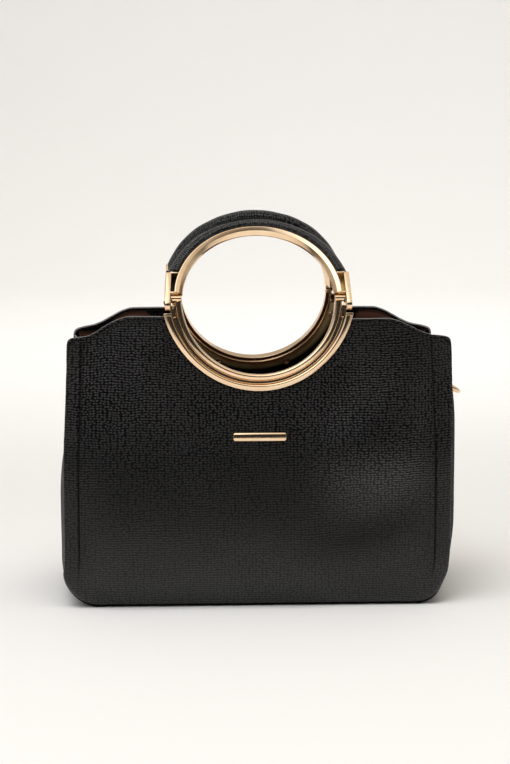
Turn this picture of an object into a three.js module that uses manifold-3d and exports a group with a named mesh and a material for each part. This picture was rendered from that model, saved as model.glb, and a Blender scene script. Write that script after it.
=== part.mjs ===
// Handbag with two folding ring handles, in millimetres, +Z up.
// -Y is the front, +X is to the right of someone looking at it, and the origin is on the floor
// under the middle of the body.
//
// The body is five leather walls (front, back, two side gussets, base) round an open lining.
// Each broad wall has a half-round cut in its top edge. A metal half ring sits in the cut, a
// backing plate screwed behind it clamps the wall, and a padded arch hinges on its two ends.

import * as THREE from 'three';
import { mergeVertices } from 'three/addons/utils/BufferGeometryUtils.js';
import Module from 'manifold-3d';

const wasm = await Module();
wasm.setup();

// ---------------------------------------------------------------- driving sizes
const GAP = 0.3;                 // clearance between pieces that touch
const DEG = Math.PI / 180;

const PANEL_WALL = 2.4;          // front and back leather, with its backing
const GUSSET_WALL = 2.0;
const BASE_WALL = 2.6;
const LINING_WALL = 1.0;

const HALF_WIDTH = 138;          // broad wall, centre to side edge
const PANEL_FOOT = 0.8;          // broad walls stop just above the floor
const CORNER_R = 29;             // bottom corners seen from the front
const GUSSET_TOP = 182;

const HINGE_Y = 41;              // half the distance between the two hinge axes
const HINGE_Z = 221.5;
const RING_LEAN = 14;            // lean of the upper walls and lower half rings, degrees
const FRONT_HANDLE_LEAN = 38.5;  // inward lean of the arches at rest, from vertical
const BACK_HANDLE_LEAN = 28.5;

const RING_IN = 55;              // inner radius of both half rings
const CUT_R = 59.3;              // half-round cut in the broad walls
const PLATE_R = 68;              // backing plate

const FLAT_ABOVE = 152;          // the walls are flat above this height, round the ring
const FLAT_HALF = 70;            // and to this distance either side of it
const CURVE_LENGTH = 57;         // height over which the lean eases out below the ring
const FOOT_CURVE = 40;           // height over which the walls tuck in to the base
const FOOT_TUCK = 5;
const BELLY = 7.4;               // how far the filled walls swell, at its most
const BELLY_Z = 50;              // and at what height
const BELLY_SPAN = 44;
const SIDE_PINCH = 14;           // how far the wall tops draw together at the shoulders
const EDGE_BAND = 13;            // turned band along each side edge
const EDGE_TURN = 4;             // how far that band turns back

// top edge of the broad walls, from the ring out to the side edge
const TOP_EDGE = [
  { x: 57.0, z: 207.2 },
  { x: 92.0, z: 207.2 },
  { x: 99.0, z: 205.6 },
  { x: 108.0, z: 201.4 },
  { x: 117.0, z: 196.8 },
  { x: 123.0, z: 194.8 },
  { x: 130.5, z: 193.6 },
  { x: 135.0, z: 192.4 },
  { x: 137.2, z: 190.4 },
  { x: 138.0, z: 187.0 },
];

// how far the side edges stand out of their straight line, low down and at the top
const EDGE_SHIFT = {
  front: { left: { low: 2.1, top: 0 }, right: { low: -0.7, top: 0.8 } },
  back: { left: { low: 0, top: -2 }, right: { low: 0, top: -3 } },
};

// side gussets: how far the middle stands out (+) or folds in (-) of the side edge
const GUSSET_FOLD = [
  { z: 0, left: 0.0, right: 0.0 },
  { z: 6, left: 1.4, right: 0.4 },
  { z: 16, left: 3.6, right: 2.4 },
  { z: 28, left: 5.6, right: 5.0 },
  { z: 75, left: 6.4, right: 9.0 },
  { z: 120, left: 1.5, right: 7.0 },
  { z: 151, left: -11.0, right: 0.0 },
  { z: 165, left: -16.0, right: -6.5 },
  { z: 184, left: -22.0, right: -17.0 },
];

const colours = {
  leather: { color: 0x161616, roughness: 0.55, metalness: 0.0 },
  lining: { color: 0x3a1d14, roughness: 0.9, metalness: 0.0 },
  gold: { color: 0xd9b88a, roughness: 0.2, metalness: 1.0 },
  dullGold: { color: 0x9c7c45, roughness: 0.35, metalness: 1.0 },
};

// ---------------------------------------------------------------- small helpers
const clamp01 = (t) => Math.min(1, Math.max(0, t));
const smooth = (t) => { const c = clamp01(t); return c * c * (3 - 2 * c); };
const V = (x, y, z) => new THREE.Vector3(x, y, z);

// value of one column of a table at a height or distance, eased between rows
function lookUp(table, key, column, at) {
  if (at <= table[0][key]) return table[0][column];
  for (let i = 1; i < table.length; i += 1) {
    const a = table[i - 1];
    const b = table[i];
    if (at <= b[key]) {
      const t = (at - a[key]) / (b[key] - a[key]);
      return a[column] + (b[column] - a[column]) * t;
    }
  }
  return table[table.length - 1][column];
}

// a closed geometry from vertices and triangles, turned so that its faces point out
function closedGeometry(points, triangles) {
  let volume = 0;
  for (const [a, b, c] of triangles) {
    volume += points[a].dot(points[b].clone().cross(points[c]));
  }
  const index = [];
  for (const [a, b, c] of triangles) index.push(...(volume > 0 ? [a, b, c] : [a, c, b]));
  const geometry = new THREE.BufferGeometry();
  geometry.setAttribute('position',
    new THREE.Float32BufferAttribute(points.flatMap((p) => [p.x, p.y, p.z]), 3));
  geometry.setIndex(index);
  geometry.computeVertexNormals();
  return geometry;
}

// a wall: outer and inner skins over a grid, joined round the rim
function wallGeometry(columns, rows, outer, inner) {
  const points = [];
  const triangles = [];
  const id = (layer, i, j) => layer * (columns + 1) * (rows + 1) + i * (rows + 1) + j;
  for (const skin of [outer, inner]) {
    for (let i = 0; i <= columns; i += 1) {
      for (let j = 0; j <= rows; j += 1) points.push(skin(i, j));
    }
  }
  const quad = (a, b, c, d) => triangles.push([a, b, c], [a, c, d]);
  for (let i = 0; i < columns; i += 1) {
    for (let j = 0; j < rows; j += 1) {
      quad(id(0, i, j), id(0, i + 1, j), id(0, i + 1, j + 1), id(0, i, j + 1));
      quad(id(1, i, j), id(1, i, j + 1), id(1, i + 1, j + 1), id(1, i + 1, j));
    }
  }
  for (let i = 0; i < columns; i += 1) {
    quad(id(0, i, 0), id(1, i, 0), id(1, i + 1, 0), id(0, i + 1, 0));
    quad(id(0, i, rows), id(0, i + 1, rows), id(1, i + 1, rows), id(1, i, rows));
  }
  for (let j = 0; j < rows; j += 1) {
    quad(id(0, 0, j), id(0, 0, j + 1), id(1, 0, j + 1), id(1, 0, j));
    quad(id(0, columns, j), id(1, columns, j), id(1, columns, j + 1), id(0, columns, j + 1));
  }
  return closedGeometry(points, triangles);
}

// a closed section of (radius, axial) pairs swept round the local Z axis between two angles
function arcSweep(section, fromDeg, toDeg, steps) {
  const points = [];
  const triangles = [];
  const n = section.length;
  for (let s = 0; s <= steps; s += 1) {
    const a = (fromDeg + ((toDeg - fromDeg) * s) / steps) * DEG;
    for (const { r, w } of section) points.push(V(r * Math.cos(a), r * Math.sin(a), w));
  }
  for (let s = 0; s < steps; s += 1) {
    for (let k = 0; k < n; k += 1) {
      const a = s * n + k;
      const b = s * n + ((k + 1) % n);
      triangles.push([a, b, b + n], [a, b + n, a + n]);
    }
  }
  const contour = section.map(({ r, w }) => new THREE.Vector2(r, w));
  const flipCap = THREE.ShapeUtils.area(contour) < 0;
  for (const [a, b, c] of THREE.ShapeUtils.triangulateShape(contour, [])) {
    const end = steps * n;
    triangles.push(flipCap ? [a, c, b] : [a, b, c]);
    triangles.push(flipCap ? [a + end, b + end, c + end] : [a + end, c + end, b + end]);
  }
  return orient(points, triangles);
}

// caps and sides share one winding only if their edges run opposite ways; this makes it so
function orient(points, triangles) {
  const owner = new Map();
  const key = (a, b) => `${a},${b}`;
  triangles.forEach(([a, b, c], t) => {
    for (const [p, q] of [[a, b], [b, c], [c, a]]) {
      const k = p < q ? key(p, q) : key(q, p);
      if (!owner.has(k)) owner.set(k, []);
      owner.get(k).push({ t, forward: p < q });
    }
  });
  const flip = new Array(triangles.length).fill(null);
  const queue = [0];
  flip[0] = false;
  while (queue.length) {
    const t = queue.pop();
    const [a, b, c] = triangles[t];
    for (const [p, q] of [[a, b], [b, c], [c, a]]) {
      const pair = owner.get(p < q ? key(p, q) : key(q, p));
      const self = pair.find((e) => e.t === t);
      for (const other of pair) {
        if (other.t === t || flip[other.t] !== null) continue;
        flip[other.t] = (self.forward === other.forward) ? !flip[t] : flip[t];
        queue.push(other.t);
      }
    }
  }
  return closedGeometry(points, triangles.map(([a, b, c], t) => (flip[t] ? [a, c, b] : [a, b, c])));
}

// joins and cuts
function solid(geometry) {
  let g = geometry.clone();
  for (const name of Object.keys(g.attributes)) if (name !== 'position') g.deleteAttribute(name);
  g = mergeVertices(g, 1e-4);
  return new wasm.Manifold(new wasm.Mesh({
    numProp: 3,
    vertProperties: new Float32Array(g.attributes.position.array),
    triVerts: new Uint32Array(g.index.array),
  }));
}
function fromSolid(manifold) {
  const mesh = manifold.getMesh();
  const geometry = new THREE.BufferGeometry();
  geometry.setAttribute('position', new THREE.Float32BufferAttribute(mesh.vertProperties, 3));
  geometry.setIndex(new THREE.Uint32BufferAttribute(mesh.triVerts, 1));
  geometry.computeVertexNormals();
  return geometry;
}
const joined = (...parts) => parts.map(solid).reduce((a, b) => a.add(b));

const boxBetween = (lo, hi) => new THREE.BoxGeometry(hi[0] - lo[0], hi[1] - lo[1], hi[2] - lo[2])
  .translate((lo[0] + hi[0]) / 2, (lo[1] + hi[1]) / 2, (lo[2] + hi[2]) / 2);

// round bar along X between two stations
const barAlongX = (radius, from, to, y, z, sides) => new THREE
  .CylinderGeometry(radius, radius, Math.abs(to - from), sides)
  .rotateZ(Math.PI / 2).translate((from + to) / 2, y, z);

function piece(name, geometry, look) {
  const mesh = new THREE.Mesh(geometry, new THREE.MeshStandardMaterial(look));
  mesh.name = name;
  return mesh;
}

// ---------------------------------------------------------------- form of the broad walls
const LEAN_SLOPE = Math.tan(RING_LEAN * DEG);
const FLAT_FOOT = HINGE_Y + (HINGE_Z - FLAT_ABOVE) * LEAN_SLOPE;
const FULL_HALF_DEPTH = FLAT_FOOT + (LEAN_SLOPE * CURVE_LENGTH) / 2;

// distance of a broad wall's middle surface from the mid plane, at a width and a height
function halfDepth(x, z) {
  const ax = Math.abs(x);
  let y;
  if (z >= FLAT_ABOVE) y = HINGE_Y + (HINGE_Z - z) * LEAN_SLOPE;
  else {
    const d = Math.min(FLAT_ABOVE - z, CURVE_LENGTH);
    y = FLAT_FOOT + LEAN_SLOPE * (d - (d * d) / (2 * CURVE_LENGTH));
  }
  if (z < FOOT_CURVE) y -= FOOT_TUCK * (1 - z / FOOT_CURVE) ** 2.2;
  const across = clamp01((ax - FLAT_HALF) / (HALF_WIDTH - FLAT_HALF));
  const upward = smooth((z - 95) / 112);
  y -= SIDE_PINCH * (1 - Math.cos((across * Math.PI) / 2)) * upward;
  const band = clamp01((ax - (HALF_WIDTH - EDGE_BAND)) / EDGE_BAND);
  return y - EDGE_TURN * band * band;
}

function edgeShift(panel, side, z) {
  const { low, top } = EDGE_SHIFT[panel][side > 0 ? 'right' : 'left'];
  return (low + (top - low) * smooth((z - 90) / 95)) * smooth(z / 30);
}

// the same, fading out towards the middle of a broad wall
const wallShift = (panel, x, z) => Math.sign(x) * edgeShift(panel, x, z)
  * smooth((Math.abs(x) - FLAT_HALF) / (HALF_WIDTH - FLAT_HALF));

// the leather also swells low down, clear of its seams, its foot and the ring
function swollenDepth(x, z) {
  const clear = smooth((HALF_WIDTH - 9 - Math.abs(x)) / 30) * smooth((z - 2) / 26)
    * smooth((Math.hypot(x, z - HINGE_Z) - 78) / 40);
  return halfDepth(x, z) + BELLY * Math.exp(-(((z - BELLY_Z) / BELLY_SPAN) ** 2)) * clear;
}

// point on a broad wall at an offset from its middle surface; front wall, so -Y is outward
function wallPoint(x, z, offset) {
  const e = 0.5;
  const dyx = (swollenDepth(x + e, z) - swollenDepth(x - e, z)) / (2 * e);
  const dyz = (swollenDepth(x, z + e) - swollenDepth(x, z - e)) / (2 * e);
  const n = V(-dyx, -1, -dyz).normalize();
  return V(x, -swollenDepth(x, z), z).addScaledVector(n, offset);
}

const COS_LEAN = Math.cos(RING_LEAN * DEG);
const notchHeight = (x, radius) => HINGE_Z - COS_LEAN * Math.sqrt(radius * radius - x * x);

function topHeight(x, radius = CUT_R) {
  const ax = Math.abs(x);
  const plateau = TOP_EDGE[0].z;
  if (ax < radius && notchHeight(ax, radius) < plateau) return notchHeight(ax, radius);
  return lookUp(TOP_EDGE, 'x', 'z', ax);
}

function footHeight(x, edge = HALF_WIDTH, radius = CORNER_R) {
  const past = Math.abs(x) - (edge - radius);
  if (past <= 0) return PANEL_FOOT;
  const reach = Math.min(past, radius);
  return PANEL_FOOT + radius - Math.sqrt(radius * radius - reach * reach);
}

// columns of a broad wall: even in angle round the cut, then along the top edge
function wallColumns(radius, notchSteps, sideStations) {
  const depth = (HINGE_Z - TOP_EDGE[0].z) / COS_LEAN;
  const open = Math.acos(depth / radius);
  const right = [];
  for (let k = notchSteps; k >= 1; k -= 1) right.push(radius * Math.sin((open * k) / notchSteps));
  right.reverse();
  right.push(...sideStations);
  return [...right.map((x) => -x).reverse(), 0, ...right];
}

const PANEL_ROWS = 10;
const PANEL_COLUMNS = wallColumns(CUT_R, 7,
  [70, 82, 92, 99, 108, 117, 123, 128, 132, 135, 137.2, 138]);

// both broad walls are drawn as the front one; the back one is then turned round
function broadWall(panel) {
  const turned = panel === 'back' ? -1 : 1;
  const at = (i, j, offset) => {
    const x = PANEL_COLUMNS[i];
    const foot = footHeight(x);
    const z = foot + ((topHeight(x) - foot) * j) / PANEL_ROWS;
    const p = wallPoint(x, z, offset);
    p.x += turned * wallShift(panel, turned * x, z);
    return p;
  };
  return wallGeometry(PANEL_COLUMNS.length - 1, PANEL_ROWS,
    (i, j) => at(i, j, PANEL_WALL / 2), (i, j) => at(i, j, -PANEL_WALL / 2));
}

// ---------------------------------------------------------------- gussets and base
// outline of the side and bottom corner, from the gusset's top down to the base
const GUSSET_EDGE = HALF_WIDTH - GAP;
const CORNER_CENTRE = { x: GUSSET_EDGE - CORNER_R, z: CORNER_R };
const SIDE_STATIONS = 12;
const CORNER_STATIONS = 5;

function gussetStation(k) {
  if (k <= SIDE_STATIONS) {
    const z = GUSSET_TOP + ((CORNER_R - GUSSET_TOP) * k) / SIDE_STATIONS;
    return { x: GUSSET_EDGE, z, nx: 1, nz: 0 };
  }
  const a = ((k - SIDE_STATIONS) / CORNER_STATIONS) * 88 * DEG;
  return {
    x: CORNER_CENTRE.x + CORNER_R * Math.cos(a),
    z: CORNER_CENTRE.z - CORNER_R * Math.sin(a),
    nx: Math.cos(a),
    nz: -Math.sin(a),
  };
}

const foldShape = (s) => (1 - s * s) ** 1.5;
const gussetReach = (x, z) => halfDepth(x, z) - PANEL_WALL / 2 - 2 * GAP;

const gussetShift = (side, s, z) => edgeShift('front', side, z) * (1 - s) / 2
  + edgeShift('back', side, z) * (1 + s) / 2;

// point on a gusset: k down the side, s from -1 (front) to 1 (back), at a depth inside it
function gussetPoint(side, k, s, inside) {
  const { x, z, nx, nz } = gussetStation(k);
  const out = lookUp(GUSSET_FOLD, 'z', side > 0 ? 'right' : 'left', z) * foldShape(s) - inside;
  return V(side * (x + nx * out + gussetShift(side, s, z)), s * gussetReach(x, z), z + nz * out);
}

function gusset(side) {
  const across = 10;
  const down = SIDE_STATIONS + CORNER_STATIONS;
  const s = (i) => Math.sin(((i / across) * 2 - 1) * Math.PI / 2);
  return wallGeometry(across, down,
    (i, j) => gussetPoint(side, j, s(i), 0), (i, j) => gussetPoint(side, j, s(i), GUSSET_WALL));
}

const BASE_HALF_LENGTH = CORNER_CENTRE.x + CORNER_R * Math.cos(88 * DEG) - GAP;
const BASE_HALF_DEPTH = gussetReach(0, PANEL_FOOT) - GAP;
const baseWall = () => boxBetween([-BASE_HALF_LENGTH, -BASE_HALF_DEPTH, 0],
  [BASE_HALF_LENGTH, BASE_HALF_DEPTH, BASE_WALL]);

// ---------------------------------------------------------------- lining
const LINING_DROP = 2.6;         // its top edge sits this far below the wall's
const LINING_NOTCH = PLATE_R + 1.4;
const LINING_FOOT = BASE_WALL + 2 * GAP;
const LINING_CLEAR = 1.6;        // loose fit inside the gussets
const LINING_EDGE = GUSSET_EDGE - GUSSET_WALL - LINING_CLEAR;

function liningHalfWidth(z) {
  const r = CORNER_R - GUSSET_WALL - LINING_CLEAR;
  const below = Math.max(0, CORNER_R - z);
  return CORNER_CENTRE.x + Math.sqrt(Math.max(0, r * r - below * below));
}

function liningTop(x) {
  const ax = Math.abs(x);
  if (ax < LINING_NOTCH) {
    const notch = notchHeight(ax, LINING_NOTCH);
    if (notch < TOP_EDGE[0].z - LINING_DROP) return notch;
  }
  return Math.min(lookUp(TOP_EDGE, 'x', 'z', ax) - LINING_DROP, 190);
}

function lining() {
  const rows = 7;
  const broad = wallColumns(LINING_NOTCH, 5, [76, 92, 104, 114, 123, 130, LINING_EDGE - 0.6]);
  const sides = [-0.92, -0.809, -0.588, -0.309, 0, 0.309, 0.588, 0.809, 0.92];
  const loop = [
    ...broad.map((x) => ({ wall: -1, x })),
    ...sides.map((s) => ({ gusset: 1, s })),
    ...broad.slice().reverse().map((x) => ({ wall: 1, x })),
    ...sides.slice().reverse().map((s) => ({ gusset: -1, s })),
  ];
  const n = loop.length;
  const skinOffset = PANEL_WALL / 2 + 1.0;
  const place = (c, j) => {
    const t = j / rows;
    if (c.wall) {
      const top = liningTop(c.x);
      const z = LINING_FOOT + (top - LINING_FOOT) * t;
      const x = (c.x * liningHalfWidth(z)) / liningHalfWidth(CORNER_R);
      const y = halfDepth(x, z) - skinOffset / COS_LEAN;
      return V(x + wallShift(c.wall < 0 ? 'front' : 'back', x, z), c.wall * y, z);
    }
    const z = LINING_FOOT + (GUSSET_TOP - 1 - LINING_FOOT) * t;
    const fold = lookUp(GUSSET_FOLD, 'z', c.gusset > 0 ? 'right' : 'left', z) * foldShape(c.s);
    const x = liningHalfWidth(z) + fold + gussetShift(c.gusset, c.s, z);
    return V(c.gusset * x, c.s * gussetReach(GUSSET_EDGE, z), z);
  };
  const outer = loop.map((c) => Array.from({ length: rows + 1 }, (_, j) => place(c, j)));
  const inner = outer.map((column, i) => column.map((p, j) => {
    const ahead = outer[(i + 1) % n][j];
    const behind = outer[(i + n - 1) % n][j];
    const inward = V(-(ahead.y - behind.y), ahead.x - behind.x, 0).normalize();
    const q = p.clone().addScaledVector(inward, LINING_WALL);
    if (j === 0) q.z += LINING_WALL;
    return q;
  }));
  const points = [];
  const triangles = [];
  const id = (layer, i, j) => layer * n * (rows + 1) + (i % n) * (rows + 1) + j;
  for (const skin of [outer, inner]) for (const column of skin) points.push(...column);
  const quad = (a, b, c, d) => triangles.push([a, b, c], [a, c, d]);
  for (let i = 0; i < n; i += 1) {
    for (let j = 0; j < rows; j += 1) {
      quad(id(0, i, j), id(0, i + 1, j), id(0, i + 1, j + 1), id(0, i, j + 1));
      quad(id(1, i, j), id(1, i, j + 1), id(1, i + 1, j + 1), id(1, i + 1, j));
    }
    quad(id(0, i, rows), id(0, i + 1, rows), id(1, i + 1, rows), id(1, i, rows));
  }
  const under = points.push(V(0, 0, LINING_FOOT)) - 1;
  const floor = points.push(V(0, 0, LINING_FOOT + LINING_WALL)) - 1;
  for (let i = 0; i < n; i += 1) {
    triangles.push([under, id(0, i + 1, 0), id(0, i, 0)]);
    triangles.push([floor, id(1, i, 0), id(1, i + 1, 0)]);
  }
  return closedGeometry(points, triangles);
}

// ---------------------------------------------------------------- ring hardware
// Local frame of a ring: X along the hinge, Y up in the ring's plane, Z outward.
const HALF_AXIAL = 4.8;          // half the rings' width along their axis
const END_CLEAR = 2.9;           // the half rings stop this far short of the hinge axis
const KNUCKLE_R = 2.3;
const PIN_R = 1.2;
const EAR_IN = 61.6;             // outer ear of the lower half
const EAR_OUT = 62.8;
const CHEEK_IN = 63.4;           // cheek plate on each end of the arch
const CHEEK_OUT = 67.2;
const CHEEK_TOP = 21.5;
const CHEEK_TIP = 9.6;           // how far it hangs below the hinge axis
const FLANGE_CUT = 11.4;         // the flange stops this far below the hinge axis
const ARC_STEPS = 24;
const PIN_SIDES = 12;

const LOWER_SECTION = [
  { r: 55.0, w: -4.6 }, { r: 55.0, w: 3.0 }, { r: 55.9, w: 4.3 }, { r: 57.4, w: 4.6 },
  { r: 59.4, w: 3.8 }, { r: 60.0, w: 2.6 }, { r: 62.3, w: 2.5 }, { r: 63.4, w: 4.1 },
  { r: 65.6, w: 3.9 }, { r: 67.2, w: 2.6 }, { r: 67.2, w: 1.5 }, { r: 58.9, w: 1.5 },
  { r: 58.9, w: -4.6 },
];
const ARCH_SECTION = [
  { r: 55.0, w: -3.6 }, { r: 55.0, w: 3.6 }, { r: 56.2, w: 4.8 }, { r: 59.2, w: 4.8 },
  { r: 60.3, w: 3.6 }, { r: 60.3, w: -3.6 }, { r: 59.2, w: -4.8 }, { r: 56.2, w: -4.8 },
];
const GRIP_SECTION = [
  { r: 60.7, w: -5.4 }, { r: 60.7, w: 5.4 }, { r: 61.5, w: 6.2 }, { r: 63.6, w: 5.9 },
  { r: 66.2, w: 4.5 }, { r: 67.6, w: 2.4 }, { r: 68.1, w: 0.0 }, { r: 67.6, w: -2.4 },
  { r: 66.2, w: -4.5 }, { r: 63.6, w: -5.9 }, { r: 61.5, w: -6.2 },
];
const PLATE_SECTION = [
  { r: 59.4, w: -3.0 }, { r: 59.4, w: -1.6 }, { r: PLATE_R, w: -1.6 }, { r: PLATE_R, w: -3.0 },
];
const SCREW_ANGLES = [-72, -24, 24, 72];   // from straight down
const SCREW_CIRCLE = 63.6;

const angleAt = (height, radius) => Math.asin(height / radius) / DEG;

// lower half ring with its flange, ears and hinge knuckles
function lowerRing() {
  const end = angleAt(END_CLEAR, RING_IN + 2);
  let body = solid(arcSweep(LOWER_SECTION, 180 + end, 360 - end, ARC_STEPS));
  for (const side of [-1, 1]) {
    const reach = (a, b) => [Math.min(side * a, side * b), Math.max(side * a, side * b)];
    const [x0, x1] = reach(58.95, 75);
    body = body.subtract(solid(boxBetween([x0, -FLANGE_CUT, -10], [x1, 10, 10])));
  }
  for (const side of [-1, 1]) {
    const reach = (a, b) => [Math.min(side * a, side * b), Math.max(side * a, side * b)];
    const [e0, e1] = reach(EAR_IN, EAR_OUT);
    body = body.add(solid(boxBetween([e0, -14, 1.6], [e1, 0, 3.4])));
    body = body.add(solid(boxBetween([e0, -7, -2.2], [e1, 0, 3.4])));
    body = body.add(solid(barAlongX(KNUCKLE_R, side * 55.2, side * EAR_OUT, 0, 0, 16)));
    const [k0, k1] = reach(55.2, 58.7);
    body = body.add(solid(boxBetween([k0, -5, -KNUCKLE_R], [k1, 0, KNUCKLE_R])));
    body = body.subtract(solid(barAlongX(PIN_R + GAP, side * 50, side * 70, 0, 0, PIN_SIDES)));
  }
  return fromSolid(body);
}

// upper half: the arch, and on each end a web and a cheek plate that hangs past the hinge
function handleArch() {
  const end = angleAt(END_CLEAR, RING_IN + 2);
  let body = solid(arcSweep(ARCH_SECTION, end, 180 - end, ARC_STEPS));
  for (const side of [-1, 1]) {
    const web = new THREE.Shape();
    const rows = 6;
    for (let k = 0; k <= rows; k += 1) {
      const y = END_CLEAR + ((CHEEK_TOP - 1 - END_CLEAR) * k) / rows;
      const x = Math.sqrt(57.6 ** 2 - y * y);
      if (k === 0) web.moveTo(x, y); else web.lineTo(x, y);
    }
    web.lineTo(CHEEK_IN + 1, CHEEK_TOP - 1);
    web.lineTo(CHEEK_IN + 1, END_CLEAR);
    web.closePath();
    const cheek = new THREE.Shape();
    const half = 4.2;
    cheek.moveTo(half, CHEEK_TOP);
    cheek.lineTo(-half, CHEEK_TOP);
    cheek.lineTo(-half, half - CHEEK_TIP);
    cheek.absarc(0, half - CHEEK_TIP, half, Math.PI, 2 * Math.PI, false);
    cheek.closePath();
    const mirror = (g) => (side > 0 ? g : g.rotateY(Math.PI));
    const webSolid = new THREE.ExtrudeGeometry(web, { depth: 5.4, bevelEnabled: false })
      .translate(0, 0, -3.4);
    const cheekSolid = new THREE.ExtrudeGeometry(cheek,
      { depth: CHEEK_OUT - CHEEK_IN, bevelEnabled: false, curveSegments: 8 })
      .rotateY(Math.PI / 2).translate(CHEEK_IN, 0, 0);
    const ledge = boxBetween([56.2, CHEEK_TOP - 2.2, -4.2], [CHEEK_IN + 1, CHEEK_TOP - 0.6, 4.2]);
    const bridge = boxBetween([57.6, END_CLEAR, -4.2], [CHEEK_IN + 1, END_CLEAR + 2, 4.2]);
    for (const g of [webSolid, cheekSolid, ledge, bridge]) body = body.add(solid(mirror(g)));
    body = body.subtract(solid(barAlongX(PIN_R + GAP, side * 61, side * 70, 0, 0, PIN_SIDES)));
  }
  return fromSolid(body);
}

const grip = () => {
  const end = angleAt(CHEEK_TOP + 0.5, 62.5);
  return arcSweep(GRIP_SECTION, end, 180 - end, 22);
};

const backingPlate = () => {
  const end = angleAt(12.2, 64);
  return arcSweep(PLATE_SECTION, 180 + end, 360 - end, ARC_STEPS);
};

const screw = (angle) => new THREE.CylinderGeometry(2.3, 2.5, 1.3, 12).rotateX(Math.PI / 2)
  .translate(SCREW_CIRCLE * Math.sin(angle * DEG), -SCREW_CIRCLE * Math.cos(angle * DEG),
    -3.0 - GAP - 0.65);

// one ring: lower half, plate, screws and pins in the wall's plane, arch and grip leaning in
function ringAssembly(prefix, handleLean, leftSide) {
  const ring = new THREE.Group();
  const leaning = (lean) => {
    const g = new THREE.Group();
    g.position.set(0, -HINGE_Y, HINGE_Z);
    g.rotation.x = Math.PI / 2 - lean * DEG;
    ring.add(g);
    return g;
  };
  const lower = leaning(RING_LEAN);
  lower.add(piece(`${prefix}_ring_lower`, lowerRing(), colours.gold));
  lower.add(piece(`${prefix}_ring_plate`, backingPlate(), colours.dullGold));
  SCREW_ANGLES.forEach((angle, i) => {
    lower.add(piece(`${prefix}_plate_screw_${i + 1}`, screw(angle), colours.dullGold));
  });
  for (const [word, side] of [['left', leftSide], ['right', -leftSide]]) {
    lower.add(piece(`${prefix}_hinge_pin_${word}`,
      barAlongX(PIN_R, side * 55.4, side * 66.8, 0, 0, PIN_SIDES), colours.gold));
  }
  const upper = leaning(handleLean);
  upper.add(piece(`${prefix}_handle_arch`, handleArch(), colours.gold));
  upper.add(piece(`${prefix}_handle_grip`, grip(), colours.leather));
  return ring;
}

// ---------------------------------------------------------------- side loops and front bar
const TAB_HALF = 5.5;
const TAB_TOP = 174;
const TAB_EYE_Z = 153;
const EYE_OUT = 3.3;
const EYE_IN = 1.8;
const WIRE_R = 1.4;
const LOOP_HALF = 7.7;           // half width of the metal loop, centre of its wire
const LOOP_LEG = 3.2;
const LOOP_TILT = { left: 25, right: 60 };   // from hanging straight down, degrees

function gussetFace(side, z) {
  return GUSSET_EDGE + lookUp(GUSSET_FOLD, 'z', side > 0 ? 'right' : 'left', z)
    + gussetShift(side, 0, z);
}

// leather tab: a strip lying on the gusset with an eye at its foot
function sideTab(side) {
  const clear = 1.9;
  const strip = 2.2;
  const eye = { x: gussetFace(side, TAB_EYE_Z) + clear + EYE_OUT, z: TAB_EYE_Z };
  const top = { x: gussetFace(side, TAB_TOP) + clear, z: TAB_TOP };
  const shape = new THREE.Shape();
  shape.moveTo(top.x, top.z);
  shape.lineTo(eye.x - EYE_OUT, eye.z);
  shape.absarc(eye.x, eye.z, EYE_OUT, Math.PI, 2 * Math.PI, false);
  shape.absarc(eye.x, eye.z, EYE_OUT, 0, Math.PI * 0.55, false);
  shape.lineTo(top.x + strip, top.z);
  shape.closePath();
  const hole = new THREE.Path();
  hole.absarc(eye.x, eye.z, EYE_IN, 0, 2 * Math.PI, true);
  shape.holes.push(hole);
  const g = new THREE.ExtrudeGeometry(shape,
    { depth: 2 * TAB_HALF, bevelEnabled: false, curveSegments: 6 });
  g.rotateX(Math.PI / 2).translate(0, TAB_HALF, 0);
  return { geometry: side > 0 ? g : g.rotateZ(Math.PI), eye };
}

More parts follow.
